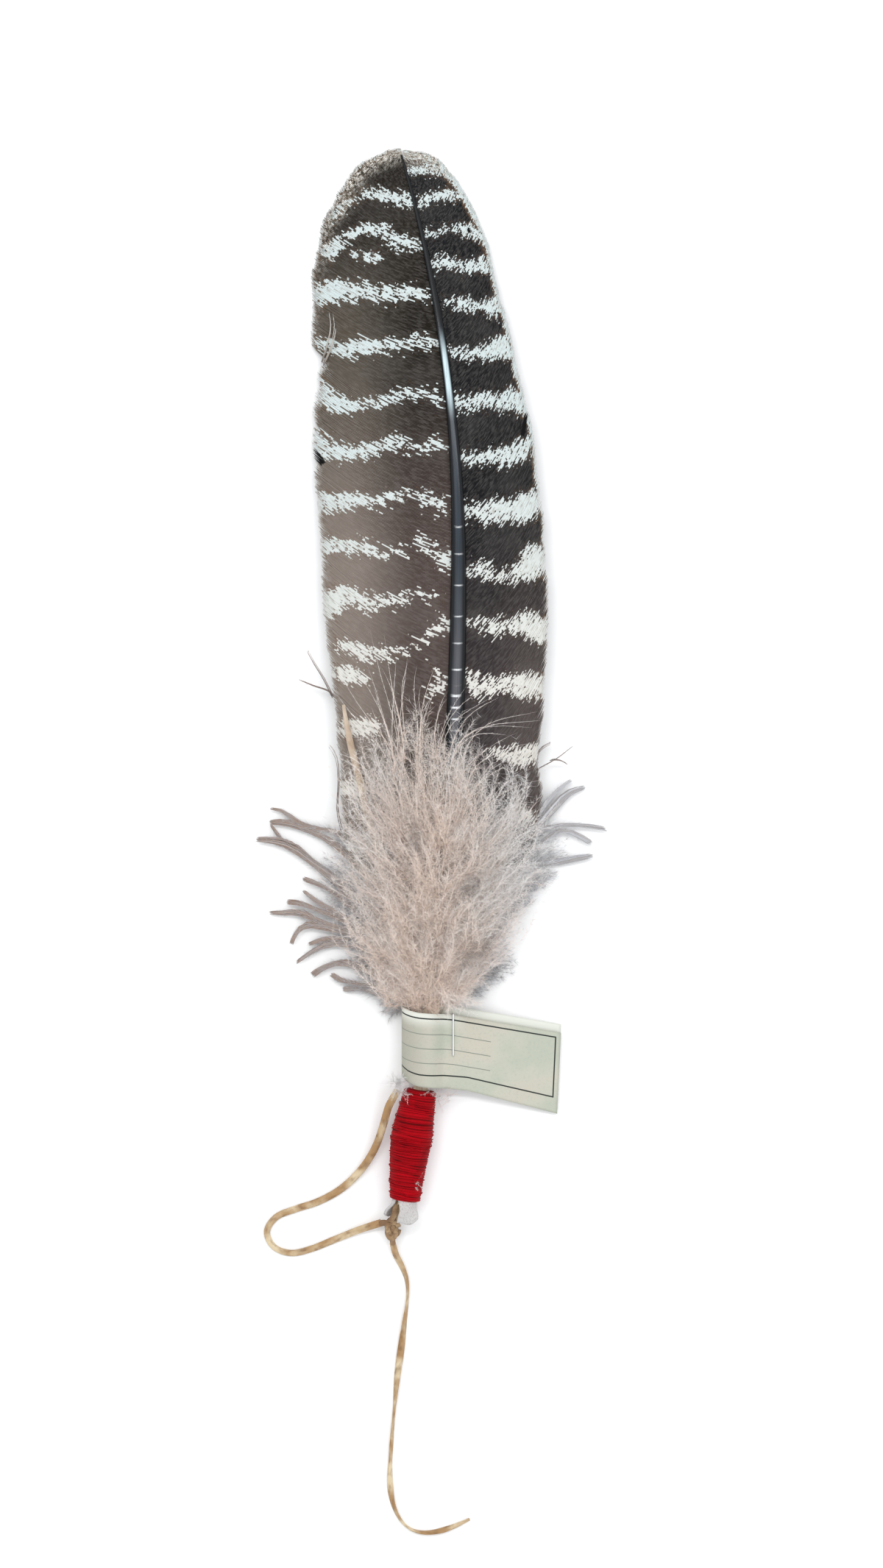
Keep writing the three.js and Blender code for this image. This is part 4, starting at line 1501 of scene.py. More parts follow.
class Down:
    """The plumes of down, their matted locks, and the loose barbs at the base of the vanes."""

    FRONT = DownFinish(
        name="down_front",
        root=tone(234, 198, 174),
        middle=tone(255, 231, 213),
        tip=tone(255, 241, 230),
        cool_middle=tone(250, 242, 236),
        cool_tip=tone(252, 250, 249),
    )
    BACK = DownFinish(
        name="down_back",
        root=tone(112, 92, 80),
        middle=tone(190, 176, 166),
        tip=tone(150, 122, 104),
        cool_middle=tone(216, 217, 222),
        cool_tip=tone(206, 209, 215),
    )
    SCRAP = DownFinish(
        name="down_scraps",
        root=tone(168, 160, 158),
        middle=tone(226, 204, 196),
        tip=tone(236, 216, 208),
        cool_middle=tone(216, 214, 214),
        cool_tip=tone(238, 238, 238),
    )
    DARK = DownFinish(
        name="loose_barbs",
        root=tone(84, 64, 54),
        middle=tone(104, 80, 68),
        tip=tone(124, 96, 80),
        cool_middle=tone(176, 168, 158),
        cool_tip=tone(214, 214, 208),
    )
    MIDDLE = (-1, -58)
    REACH_ANGLES = (0, 30, 55, 75, 95, 115, 135, 155, 180)
    REACH_LEFT = (51, 47, 36, 28, 24, 24, 26, 29, 31)
    REACH_RIGHT = (51, 48, 42, 38, 32, 27, 30, 30, 31)
    LEFT_LOCKS = (
        (0.6, ((-46.1, -34.9), (-41.9, -35.8), (-38.8, -38.5), (-33.5, -40.6), (-25.8, -42.5), (-12, -58))),
        (0.9, ((-46.4, -38.9), (-41.9, -38.9), (-36.9, -40.4), (-30.4, -43.3), (-24.2, -47.9), (-10, -64))),
        (0.5, ((-46.1, -39.1), (-44.2, -41.8), (-41.9, -44.7), (-38.8, -46.4), (-30, -53), (-10, -68))),
        (1.3, ((-50.2, -43.7), (-44.2, -44.1), (-39.2, -46), (-35, -49.5), (-28.1, -54.8), (-8, -72))),
        (0.7, ((-36.9, -54.8), (-33.5, -56), (-28.8, -58.3), (-23.5, -62.5), (-6, -76))),
        (0.8, ((-36.7, -58.1), (-35, -59.6), (-31.1, -62.4), (-22.7, -67.1), (-5, -80))),
        (0.8, ((-41.5, -61.5), (-37.3, -61.9), (-31.9, -64.1), (-22.7, -67.9), (-5, -82))),
        (0.9, ((-46.5, -64.5), (-42.3, -64.7), (-37.3, -64.5), (-31.1, -67.5), (-21.2, -71), (-5, -84))),
        (1, ((-40, -73.7), (-38.4, -70.2), (-35, -67.9), (-27.3, -69.4), (-19.6, -72.5), (-5, -85))),
        (0.8, ((-35.4, -73.7), (-31.1, -72.4), (-25, -72.1), (-18.1, -75.2), (-5, -86))),
        (0.8, ((-38.8, -79.1), (-34.2, -75.8), (-28.8, -73.3), (-21.2, -74.4), (-15, -77.9), (-4, -87))),
        (1, ((-34.2, -82.5), (-30.4, -80.1), (-25, -78.8), (-18.8, -81), (-12.7, -83.3), (-4, -88))),
        (0.8, ((-28.8, -81.9), (-25.8, -83.9), (-21.2, -84.8), (-13.5, -86.5), (-4, -88.5))),
        (0.8, ((-25.4, -86.4), (-21.2, -86.1), (-15, -87.5), (-9.6, -88.7), (-4, -89))),
    )
    RIGHT_LOCKS = (
        (0.6, ((40, -26.8), (36.5, -29.1), (31.9, -34.1), (24, -45), (4, -68))),
        (1.1, ((44, -28.9), (38.8, -30.6), (33.4, -36), (28, -41.8), (4, -70))),
        (0.6, ((50.3, -41), (44.2, -39.9), (35, -39.8), (27.3, -44.1), (4, -72))),
        (0.7, ((45.7, -45), (41.9, -42.7), (38, -41.5), (31.9, -44.1), (4, -74))),
        (0.8, ((46.1, -48.3), (40, -49.3), (34.2, -50.6), (25, -52.5), (4, -76))),
    )
    LOOSE_BARBS = (
        ((-27.9, -3.5), (-30.5, 1.7), (-33.3, 6.3), (-35.4, 10.1)),
        ((-27.6, -3.5), (-29.8, -1.5), (-33.8, -0.1), (-38.1, 1.7)),
        ((-25.4, -41), (-26.7, -34.9), (-26.4, -27.2), (-27, -20.4), (-29.4, -16.4)),
        ((30, -20.5), (30.4, -18.7), (31.9, -17.2), (33.8, -16.2)),
        ((29.4, -24.5), (30.7, -23.5), (35.4, -20.9), (40.3, -17.2)),
        ((34, -21.4), (35, -21), (36.9, -21.2), (38.8, -22.2)),
    )
    CURLED_BARBS = (
        ((-31, 91.6), (-29.3, 96.8), (-28.4, 101.6), (-28.9, 106)),
        ((-30.6, 91), (-28.6, 95), (-27.4, 98.6), (-27, 101)),
    )
    WISPS = (
        ((-10, -14), (-12.2, 0), (-12.8, 13.6)), ((-9.6, -12), (-9, -1), (-8.6, 7.2)),
        ((-9, -14), (-10.6, -1), (-12, 5.4)), ((-12, -14), (-15.4, -4), (-18.6, 3.2)),
        ((-13, -16), (-16.8, -6), (-19.2, 1)), ((-14, -18), (-21, -9), (-26, -1)),
        ((-3, -12), (-1, -4), (2.2, 4.2)), ((-2, -14), (-1.6, -5), (0.6, 0.8)),
        ((4, -14), (8, -6), (13.4, 0.6)), ((6, -14), (11, -8), (20.4, -3.4)),
        ((9, -16), (16, -10.4), (31, -7.2)), ((8, -18), (15, -13), (26.6, -12.2)),
        ((12, -22), (20, -17), (26.4, -15.4)), ((-20, -24), (-24, -20.4), (-26.6, -20.8)),
        ((-6, -13), (-7.4, -4), (-7.2, 2)), ((2, -12), (5, -5), (8.4, -1.6)),
        ((14, -34), (22, -27), (30.4, -24)), ((12, -30), (19, -23), (28, -19.6)),
    )
    EXTRA_TUFTS = (
        Tuft((-2, -50), (-4.2, -13), 4, 14, 0.1, 0, 3.8),
        Tuft((-4, -50), (-10.4, -15), 3, 12, 0.3, 0.1, 4.8, -0.08),
        Tuft((2, -50), (0.8, -16), 4, 12, 0.2, 0.1, 4.6, 0.05),
        Tuft((2, -52), (7, -15), 3, 12, 0.5, 0.1, 4.8, 0.1),
        Tuft((-5, -52), (-15.5, -18), 3, 12, 0.5, 0.1, 4.8, -0.12),
        Tuft((-6, -56), (-16.5, -25), 3, 10, 0.4, 0.1, 4.6, 0.1),
        Tuft((4, -50), (13, -18), 3, 10, 0.7, 0.1, 5, 0.15),
        Tuft((6, -50), (18, -22), 2.6, 5, 0.9, 0.1, 5.4, 0.15),
        Tuft((-8, -44), (-22.5, -19.5), 4.4, 6, 0.6, 0.1, 3, 0.1),
        Tuft((-9, -52), (-21.5, -31), 4.4, 6, 0.7, 0.1, 3, 0.08),
        Tuft((0, -70), (-3, -42), 7, 10, 0, 0, 4.4),
        Tuft((-5, -96), (-7.5, -80), 2.2, 12, 0.1, 0, 2),
        Tuft((-2.8, -96.5), (-3, -79), 2.4, 14, 0, 0, 2.2),
        Tuft((-0.4, -96.5), (2, -80), 2.4, 14, 0, 0, 2.2),
        Tuft((-4.5, -92), (-9, -80), 3, 10, 0.1, 0, 2.4),
        Tuft((-3, -92.5), (-3.5, -76), 3.6, 12, 0, 0, 2.8),
        Tuft((-0.5, -92.5), (1.5, -78), 3.6, 12, 0, 0, 3),
        Tuft((2, -92), (8, -80), 3, 10, 0.15, 0, 2.6),
        Tuft((4, -91.5), (13, -84), 2.6, 10, 0.4, 0, 2.6),
        Tuft((-5.5, -91), (-14, -84), 2.4, 10, 0.3, 0.1, 2.4),
        Tuft((-1.5, -88), (-1.5, -66), 8, 14, 0, 0, 4),
        # This tuft's high shade value is painted shade in the hollow where it lies.
        Tuft((3, -78), (15, -70), 7, 8, 0.1, 0.8, 1.8, 0.3),
        Tuft((2, -84), (17, -75), 6.5, 8, 0.4, 0, 2.2, -0.24),
        Tuft((3, -74), (18, -66), 8, 8, 0.5, 0.1, 2.2, 0.22),
        Tuft((1, -82), (6.5, -90.4), 7, 10, 0.2, 0, 1.8, 0.1),
        Tuft((3, -83), (12, -89.8), 6, 8, 0.4, 0, 1.8, 0.15),
    )
    # Darker barbs laid in the plume's hollows as painted shade.
    HOLLOW_SHADE = (
        Tuft((4, -81), (14, -70.5), 9, 8, 0, 0.5, 1.5, 0.32),
        Tuft((5, -77), (17, -73), 9, 6, 0.1, 0.5, 1.4, 0.3),
        Tuft((-5, -52), (-5.5, -36), 7, 7, 0.1, 0.3, 1.6, 0.1),
        Tuft((-1, -80), (-1.5, -64), 9, 5, 0.2, 0.3, 1.2, -0.1),
        Tuft((6, -62), (13, -54), 7, 6, 0.3, 0.2, 1.6, 0.15),
    )
    RIGHT_TUFTS = (
        Tuft((8, -52), (20, -32), 1.6, 5, 1, 0, 4.2, 0.1),
        Tuft((9, -54), (23, -33), 1.6, 13, 1, 0, 4.2, 0.1),
        Tuft((10, -56), (26.5, -37.5), 1.8, 15, 1, 0, 4.2, 0.08),
        Tuft((10, -59), (29, -43), 1.8, 17, 1, 0, 4.2, 0.08),
        Tuft((10, -62), (29.5, -48), 1.8, 17, 1, 0, 4.2, 0.06),
        Tuft((10, -67), (27, -54.5), 2, 15, 1, 0, 4, 0.06),
        Tuft((10, -72), (21, -61.5), 2.2, 10, 1, 0, 3.6, 0.04),
    )
    LOW_FUZZ = Fuzz(stem=0.1, reach=4.6, barbules=76, tip_reach=2.6, lean=(14, 86), thick=0.075, last=1)
    SOFT_FUZZ = Fuzz(stem=0.09, reach=5, barbules=74, tip_reach=2.8, lean=(12, 90), thick=0.07, last=1)
    WISP_FUZZ = Fuzz(stem=0.13, barbules=60, reach=2.4, tip_reach=0.4, last=0.85, lean=(12, 50), thick=0.06)
    LOCK_FUZZ = Fuzz(barbules=24, reach=4.4, tip_reach=0.4, lean=(10, 48), last=0.78, flat=0.7)
    WEB_FUZZ = Fuzz(stem=0.16, barbules=78, reach=4, tip_reach=2, lean=(14, 60), flat=0.5, thick=0.1, last=1)
    LOOSE_FUZZ = Fuzz(stem=0.3, barbules=44, reach=0.9, tip_reach=0.5, lean=(12, 30), thick=0.13)
    CURLED_FUZZ = Fuzz(stem=0.26, barbules=44, reach=0.9, tip_reach=0.5, lean=(12, 30), thick=0.12)
    SCRAP_FUZZ = Fuzz(stem=0.06, barbules=34, reach=1.2, tip_reach=0.6, lean=(20, 70), thick=0.042)
    LAYERS = (
        Layer("front_plume_bed", 60, 30, (0.3, 0.95), 9, 2.6, 0.2, LOW_FUZZ),
        Layer("front_plume_low", 61, 42, (0.74, 1), 7, 4, 0.2, LOW_FUZZ, RIGHT_TUFTS),
        Layer("front_plume_middle", 62, 48, (0.4, 0.86), 6, 6, 0.1, SOFT_FUZZ),
        Layer("front_plume_top", 63, 40, (0.1, 0.6), 6, 8, 0.05, SOFT_FUZZ, EXTRA_TUFTS),
    )
    LEFT_WEB = Web(
        side=-1,
        roots=((-4, -66), (-6, -90)),
        tips=((-27, -43.5), (-32, -49.5), (-31.5, -56), (-29.5, -64), (-27, -72), (-22, -82),
              (-14, -90.5), (-12.6, -95)),
        cast=0.6,
        barbs=150,
        darkest=0.5,
    )
    RIGHT_WEB = Web(
        side=1,
        roots=((5, -62), (0, -90)),
        tips=((31, -34), (37, -42), (38.5, -50), (31, -59), (24.5, -65), (22.5, -73),
              (23, -80), (13.5, -88)),
        cast=0.9,
        barbs=270,
        # The right web's higher darkness is painted shade over its random tone.
        darkest=0.9,
    )
    SCRAPS = (
        (-9.8, -112.4, 8.8, 3.6, 50, 0.95), (-8.8, -115, 9.6, 2.6, 8, 0.95),
        (-6.6, -115.8, 10.6, 2.6, 3, 0.8), (-0.4, -114.6, 10.6, 3, 4, 0.1),
        (2, -117, 7, 3.8, 14, 0.1), (4.6, -117, 5.4, 3, 8, 0.1), (-4.3, -141.2, 9.4, 1.2, 5, 0.3),
    )

    def surface(self, x: float, y: float) -> float:
        """The height of the feather's face at a place beside or on the shaft."""
        off = abs(x - float(SHAFT.x(y))) / 32.0
        return float(SHAFT.z(y)) + 1.6 - 6.0 * min(off, 1.15) ** 2

    def limit(self, angle: float) -> float:
        """How far the front plume reaches from its middle, at an angle from straight up."""
        reach = self.REACH_RIGHT if angle > 0 else self.REACH_LEFT
        return float(np.interp(abs(angle), self.REACH_ANGLES, reach))

    def tuft(self, mesh: DownMesh, tuft: Tuft, fuzz: Fuzz) -> None:
        """Grows one tuft of the front plume, curved over the feather's face.

        Args:
            mesh: Where its barbs go.
            tuft: The tuft.
            fuzz: How its barbs look.
        """
        rng = mesh.rng
        count = tuft.barbs
        spread = rng.normal(0, 1, (count, 2)) * tuft.width * (0.42, 0.5)
        root, tip = np.array(tuft.root), np.array(tuft.tip)
        run = tip - root
        length = np.linalg.norm(run)
        ahead = run / length
        aside = np.array([ahead[1], -ahead[0]])
        start = root + rng.normal(0, 0.9, (count, 2))
        start = start + ahead * rng.uniform(0, 0.3, (count, 1)) * length
        end = tip + aside * spread[:, :1] + ahead * spread[:, 1:]
        bow = 0.5 * (start + end)
        bow = bow + np.array([-0.16 * run[0], 0.16 * abs(run[0])]) + aside * tuft.curve * length
        bow = bow + aside * (spread[:, :1] * 1.1 + rng.normal(0, 1.2, (count, 1)))
        t = np.linspace(0, 1, mesh.RINGS)[None, :, None]
        flat = bend(start, bow, end, t)
        base_z = self.surface(*tuft.root)
        tip_z = max(self.surface(*tuft.tip), 2.4)
        rise = rng.uniform(0.2, 1.0, (count, 1))
        share = t[:, :, 0]
        z = base_z + (tip_z - base_z) * share
        z = z + tuft.lift * rise * (4 * share * (1 - share)) ** 0.8 + (0.5 + 0.22 * tuft.lift * rise) * share
        line = np.concatenate([flat, z[:, :, None]], axis=2)
        beat = t * rng.uniform(3, 8, (count, 1, 1)) + rng.uniform(0, 6, (count, 1, 1))
        wave = rng.normal(0, 1.1, (count, 1, 3)) * np.sin(beat) * (1.0, 1.0, 0.6)
        stray = 2.6 * min(length / 22.0, 1.0)
        line = line + wave * t + rng.normal(0, stray, (count, 1, 3)) * (1.0, 1.0, 0.4) * t**3
        cast = np.clip(tuft.cast + rng.normal(0, 0.14, count), 0, 1)
        shade = np.clip(tuft.shade + rng.normal(0, 0.22, count), 0, 1)
        mesh.grow(line, cast, shade, fuzz)

    def scattered(self, rng: Rng, layer: Layer, number: int) -> Tuft:
        """Picks one tuft of a layer, in its own sector of the plume.

        Args:
            rng: The seeded source of numbers.
            layer: The layer.
            number: The tuft's number in the layer.

        Returns:
            The tuft.
        """
        angle = -160 + 320 * (number + rng.uniform(0.0, 1.0)) / layer.tufts
        reach = rng.uniform(*layer.radii) * self.limit(angle)
        turn = math.radians(angle)
        tip = (self.MIDDLE[0] + reach * math.sin(turn), self.MIDDLE[1] + reach * math.cos(turn))
        root_y = min(max(tip[1] - rng.uniform(10, 20) - 0.25 * abs(tip[0]), -91.0), -50.0)
        root = (float(SHAFT.x(root_y)) - 1.5 + rng.uniform(0.1, 0.5) * tip[0], root_y)
        away = math.hypot(tip[0], 0.45 * (tip[1] + 55)) / 26
        cool = 0.7 * min(away, 1.2) ** 2.2 + (0.2 if tip[0] > 8 else 0.0)
        shade = layer.shade + 0.5 * rng.uniform(0.0, 1.0) ** 2
        width, curve = rng.uniform(3.4, 6.4), rng.normal(0, 0.28)
        return Tuft(root, tip, layer.lift, layer.barbs, min(cool, 1.0), shade, width, curve)

    def front(self, shaded: Material) -> None:
        """Makes the plume on the feather's face, in four layers of tufts and a few long wisps.

        Args:
            shaded: The material of the darker barbs that paint shade into the plume's hollows.
        """
        finish = self.FRONT.material()
        for layer in self.LAYERS:
            mesh = DownMesh(layer.seed)
            for number in range(layer.tufts):
                self.tuft(mesh, self.scattered(mesh.rng, layer, number), layer.fuzz)
            for tuft in layer.placed:
                self.tuft(mesh, tuft, layer.fuzz)
            mesh.build(layer.name, finish, "down", ("fluff_front",))
        # Painted shade: darker barbs in the plume's hollows, in the back plume's grey material.
        mesh = DownMesh(65)
        for tuft in self.HOLLOW_SHADE:
            self.tuft(mesh, tuft, self.SOFT_FUZZ)
        mesh.build("front_plume_hollow_shade", shaded, "grey_down", ("fluff_front",))
        self.wisps(finish)

    def wisps(self, finish: Material) -> None:
        """Makes the long thin barbs that stand out past the plume over the vanes.

        Args:
            finish: Their material.
        """
        mesh = DownMesh(64)
        rng = mesh.rng
        steps = 9
        run = np.linspace(0, 1, steps)[:, None]
        arch = 1.2 + 1.6 * np.sin(np.linspace(0, 3.0, steps))
        for spots in self.WISPS:
            (x, y), (after_x, _) = spots[:2]
            hidden = (x - 0.5 * (after_x - x), y - 9.0)
            for _ in range(2):
                path = spline([hidden, *spots], steps)
                path = path + rng.normal(0, 1.0, 2) + run**2 * rng.normal(0, 2.0, 2)
                path = path + np.sin(run * rng.uniform(2, 5)) * rng.normal(0, 0.9, 2)
                z = np.array([self.surface(*spot) for spot in path]) + arch
                line = np.column_stack([path, z])[None]
                mesh.grow(line, rng.uniform(0.3, 0.8, 1), rng.uniform(0.1, 0.5, 1), self.WISP_FUZZ)
        mesh.build("front_plume_wisps", finish, "down", ("fluff_front",))

    def lock(self, mesh: DownMesh, spots: Sequence[Spot], half: float, cast: float, dark: float) -> None:
        """Grows one matted lock: a striped bundle with a blunt tip that opens into fuzz at its root.

        Args:
            mesh: Where its barbs go.
            spots: Its line from tip to root.
            half: Its half-width near the tip.
            cast: Its cast, from warm 0 to cool 1.
            dark: How dark its strands are on average.
        """
        rng = mesh.rng
        steps, rings = 24, 10
        t, ring = np.linspace(0, 1, steps), np.linspace(0, 1, rings)
        z = 3.4 - 1.6 * t + 0.5 * np.sin(5 * t + rng.uniform(0, 6))
        spine = np.column_stack([spline(spots[::-1], steps), z])
        _, level, up = mesh.directions(spine)
        half = 1.2 * half
        hairs = int(28 + 18 * half)
        start = rng.uniform(0.0, 0.35, hairs)
        end = rng.uniform(0.965, 1.0, hairs)
        share = start[:, None] + (end - start)[:, None] * (1 - (1 - ring) ** 1.8)
        low, part = between(share * (steps - 1), steps)
        part = part[:, :, None]
        turn = rng.uniform(0, math.tau, (hairs, 1))
        out = np.sqrt(rng.random((hairs, 1)))
        wide = half * (0.62 + 0.5 * (1 - share)) * (1 + 0.25 * np.sin(share * 17 + rng.uniform(0, 6)))
        twist = turn + 2.6 * share
        side = (np.cos(twist) * out * wide)[:, :, None]
        rise = (np.sin(twist) * out * wide * 0.55)[:, :, None]
        line = spine[low] * (1 - part) + spine[low + 1] * part + level[low] * side + up[low] * rise
        hair = 0.5 * 0.3 * (1 - 0.3 * ring[None, :] ** 4) * rng.uniform(0.7, 1.2, (hairs, 1))
        tones = np.clip(cast + rng.normal(0, 0.1, hairs), 0, 1)
        shades = np.clip(rng.normal(dark, 0.42, hairs), 0, 1)
        tint = mesh.tints(0.35 + 0.65 * share, tones, shades)
        mesh.stems(line, hair, tint)
        tint[:, :, 1] = np.maximum(tint[:, :, 1], 0.75)
        tint[:, :, 2] *= 0.4
        mesh.barbules(line, tint, self.LOCK_FUZZ)

    def web(self, mesh: DownMesh, web: Web) -> None:
        """Grows the loose web on one side.

        Args:
            mesh: Where its barbs go.
            web: The web.
        """
        rng = mesh.rng
        count = web.barbs
        t = np.linspace(0, 1, mesh.RINGS)[None, :, None]
        share = np.linspace(0, 1, count)[:, None]
        first, last = np.array(web.roots)
        start = first + (last - first) * share + rng.normal(0, 1.0, (count, 2))
        end = spline(web.tips, count) + rng.normal(0, 1.0, (count, 2))
        end = start + (end - start) * rng.uniform(0.6, 1.0, (count, 1)) ** 0.6
        run = end - start
        bow = 0.5 * (start + end) + np.column_stack([np.zeros(count), 0.14 * web.side * run[:, 0]])
        flat = bend(start, bow, end, t)
        z = 3.6 - 1.8 * t + rng.uniform(-0.9, 1.2, (count, 1, 1)) * t
        line = np.concatenate([flat, np.broadcast_to(z, (*flat.shape[:2], 1))], axis=2)
        cool = np.clip(web.cast + rng.normal(0, 0.12, count), 0, 1)
        mesh.grow(line, cool, rng.uniform(0.0, web.darkest, count), self.WEB_FUZZ)

    def back(self, finish: Material) -> None:
        """Makes the plume under the feather, which shows past both edges of the vanes.

        Args:
            finish: Its material.
        """
        for name, seed, locks, fuller, cast, dark, web in (
            ("back_plume_left", 71, self.LEFT_LOCKS, 1.0, 0.12, 0.5, self.LEFT_WEB),
            ("back_plume_right", 72, self.RIGHT_LOCKS, 1.1, 0.85, 0.6, self.RIGHT_WEB),
        ):
            mesh = DownMesh(seed)
            for half, spots in locks:
                self.lock(mesh, spots, fuller * half, cast, dark)
            self.web(mesh, web)
            mesh.build(name, finish, "grey_down", ("fluff_back",))

    def loose(self) -> None:
        """Makes the loose barbs: dark ones at the vanes' lower edges, pale ones by the dent higher up."""
        mesh = DownMesh(73)
        rng = mesh.rng
        strands, steps = 3, 12
        for spots in self.LOOSE_BARBS:
            for _ in range(strands):
                path = spline(spots, steps) + rng.normal(0, 0.22, 2)
                z = np.linspace(5.0, 3.4, steps) + rng.uniform(-0.2, 0.4)
                line = np.column_stack([path, z])[None]
                mesh.grow(line, rng.uniform(0.0, 0.1, 1), rng.uniform(0, 0.5, 1), self.LOOSE_FUZZ)
        arch = 0.2 + 0.8 * np.sin(np.linspace(0, 3.0, steps))
        for spots in self.CURLED_BARBS:
            for _ in range(strands):
                path = spline(spots, steps) + rng.normal(0, 0.3, 2)
                line = np.column_stack([path, WIDE_VANE.height(*path.T) + arch])[None]
                mesh.grow(line, rng.uniform(0.6, 1.0, 1), rng.uniform(0, 0.3, 1), self.CURLED_FUZZ)
        mesh.build("loose_vane_barbs", self.DARK.material(), "vane", ("turkey_feather",))

    def scraps(self) -> None:
        """Makes the white scraps of down caught at the top of the binding and on the thread."""
        mesh = DownMesh(74)
        rng = mesh.rng
        t = np.linspace(0, 1, mesh.RINGS)[None, :, None]
        for x, y, z, reach, count, cast in self.SCRAPS:
            way = unit(rng.normal(0, 1, (count, 1, 3)) * (1, 1, 0.35))
            curl = rng.normal(0, 1.0, (count, 1, 3)) * (1, 1, 0.4)
            line = np.array([x, y, z]) + rng.normal(0, 0.5, (count, 1, 3)) + way * reach * t + curl * t**2
            casts = np.clip(rng.normal(cast, 0.1, count), 0, 1)
            mesh.grow(line, casts, rng.uniform(0, 0.7, count), self.SCRAP_FUZZ)
        mesh.build("down_scraps", self.SCRAP.material(), "down", ("fluff_front",))

    def build(self) -> None:
        """Makes all of the down."""
        grey = self.BACK.material()
        self.back(grey)
        self.front(grey)
        self.loose()
        self.scraps()


@dataclass
class Handle:
    """The white leather sleeve and the red thread bound over it, on one straight axis."""

    OUTSIDE = HideFinish(
        "white_suede", tone(184, 181, 180), tone(200, 197, 195), tone(136, 131, 127), 0.9, (60.0, 60.0, 1.0)
    )
    # A darker suede for the sleeve's inner faces, as painted shade inside the roll.
    SHADED_INSIDE = HideFinish(
        "suede_inside_shade", tone(170, 165, 160), tone(190, 185, 180), tone(112, 105, 98), 0.95, (40.0, 40.0, 1.0)
    )

    turns: int = 46
    groove: float = 0.3
    thread_length: float = 31.6
    radii: tuple[tuple[float, float], ...] = (
        (0.0, 4.6), (6.5, 5.3), (12.5, 5.9), (18.5, 5.6), (25.0, 4.95), (31.6, 4.4),
    )
    strands: int = 26
    sleeve_top: float = 0.8
    sleeve_length: float = 37.2
    sleeve_radius: float = 3.2
    sleeve_wall: float = 0.7
    slit_at: float = 133.0

    def on_axis(self, across: Floats, down: Floats, up: Floats) -> Floats:
        """Places points given across the handle, down its axis from the thread's top, and up.

        Args:
            across: How far to the right of the axis.
            down: How far down it from the thread's top.
            up: How far above it.

        Returns:
            The places, in millimetres.
        """
        lean = math.atan(SHAFT.handle_slope)
        x = float(SHAFT.x(SHAFT.wrap_top_y)) + across * math.cos(lean) - down * math.sin(lean)
        y = SHAFT.wrap_top_y - across * math.sin(lean) - down * math.cos(lean)
        return np.column_stack([x, y, SHAFT.handle_z + up])

    def sag(self, down: Floats) -> Floats:
        """How far the binding's middle leans to the left of its axis."""
        return 0.6 * np.sin(math.pi * down / self.thread_length)

    def radius(self, down: Floats) -> Floats:
        """The binding's radius, down from its top."""
        shape = spline(self.radii, 200)
        return np.interp(down, shape[:, 0], shape[:, 1])

    def thread(self) -> Piece:
        """Makes the wound thread: a spindle with one helical ridge a turn, pressed flat underneath.

        Returns:
            The new object.
        """
        rng = np.random.default_rng(3)
        fine = np.linspace(0, 1, 4000)
        uneven = np.interp(fine, np.linspace(0, 1, 160), wander(rng, 160, 2.2))
        tones = rng.random(self.turns + 3)

        def turn_of(share: Floats, angle: Floats) -> Floats:
            """Counts the turns from the thread's top to a place."""
            lean = 0.45 * np.interp(share, fine, uneven)
            return share * self.turns + angle / math.tau + lean + 0.16 * np.sin(2 * angle + share * 23)

        def place(share: Floats, angle: Floats) -> Floats:
            """Finds places on the skin from the share of the length and the angle round it."""
            down = share * self.thread_length
            ridge = np.abs(np.sin(math.pi * turn_of(share, angle))) ** 0.8
            radius = self.radius(down) - self.groove * (1 - ridge)
            radius = radius - 0.7 * (smoothstep(0.012, 0.0, share) + smoothstep(0.988, 1.0, share))
            up = radius * np.sin(angle)
            across = radius * np.cos(angle) - self.sag(down)
            return self.on_axis(across, down, np.maximum(up, 0.02 - SHAFT.handle_z))

        piece, share, angle = bent_tube("red_thread_binding", sides=56, cuts=self.turns * 7, place=place)
        turn = turn_of(share, angle)
        turn_tones = tones[np.floor(turn).astype(int).clip(0, self.turns + 2)]
        # groove is 1 on a turn's crest and 0 between turns, where the material paints shade.
        add_values(piece.data, {"groove": np.abs(np.sin(math.pi * turn)), "turn": turn_tones})
        piece.data.materials.append(ThreadFinish().material())
        return piece

    def strays(self) -> None:
        """Makes the strands of thread that cross over the windings."""
        rng = np.random.default_rng(8)
        steps, half = 20, 0.17
        lines = []
        for _ in range(self.strands):
            down = rng.uniform(1.5, 30) + np.linspace(0, rng.uniform(-2.6, 2.6), steps)
            angle = rng.uniform(0, math.tau) + np.linspace(0, rng.uniform(1.4, 3.2), steps)
            down = down.clip(0.8, 31.0)
            radius = self.radius(down) + 0.1
            up = np.maximum(radius * np.sin(angle), 0.1 - SHAFT.handle_z)
            lines.append(self.on_axis(radius * np.cos(angle) - self.sag(down), down, up))
        mesh = DownMesh(5)
        shape = (self.strands, steps)
        mesh.stems(np.stack(lines), np.full(shape, half), np.full((*shape, 3), 0.5))
        finish = ThreadFinish("red_thread_loose").material()
        # A groove of 1 keeps the painted groove shade off the loose strands.
        mesh.build("red_thread_strands", finish, "red_thread", ("thread_wrap",), groove=1.0, turn=0.6)

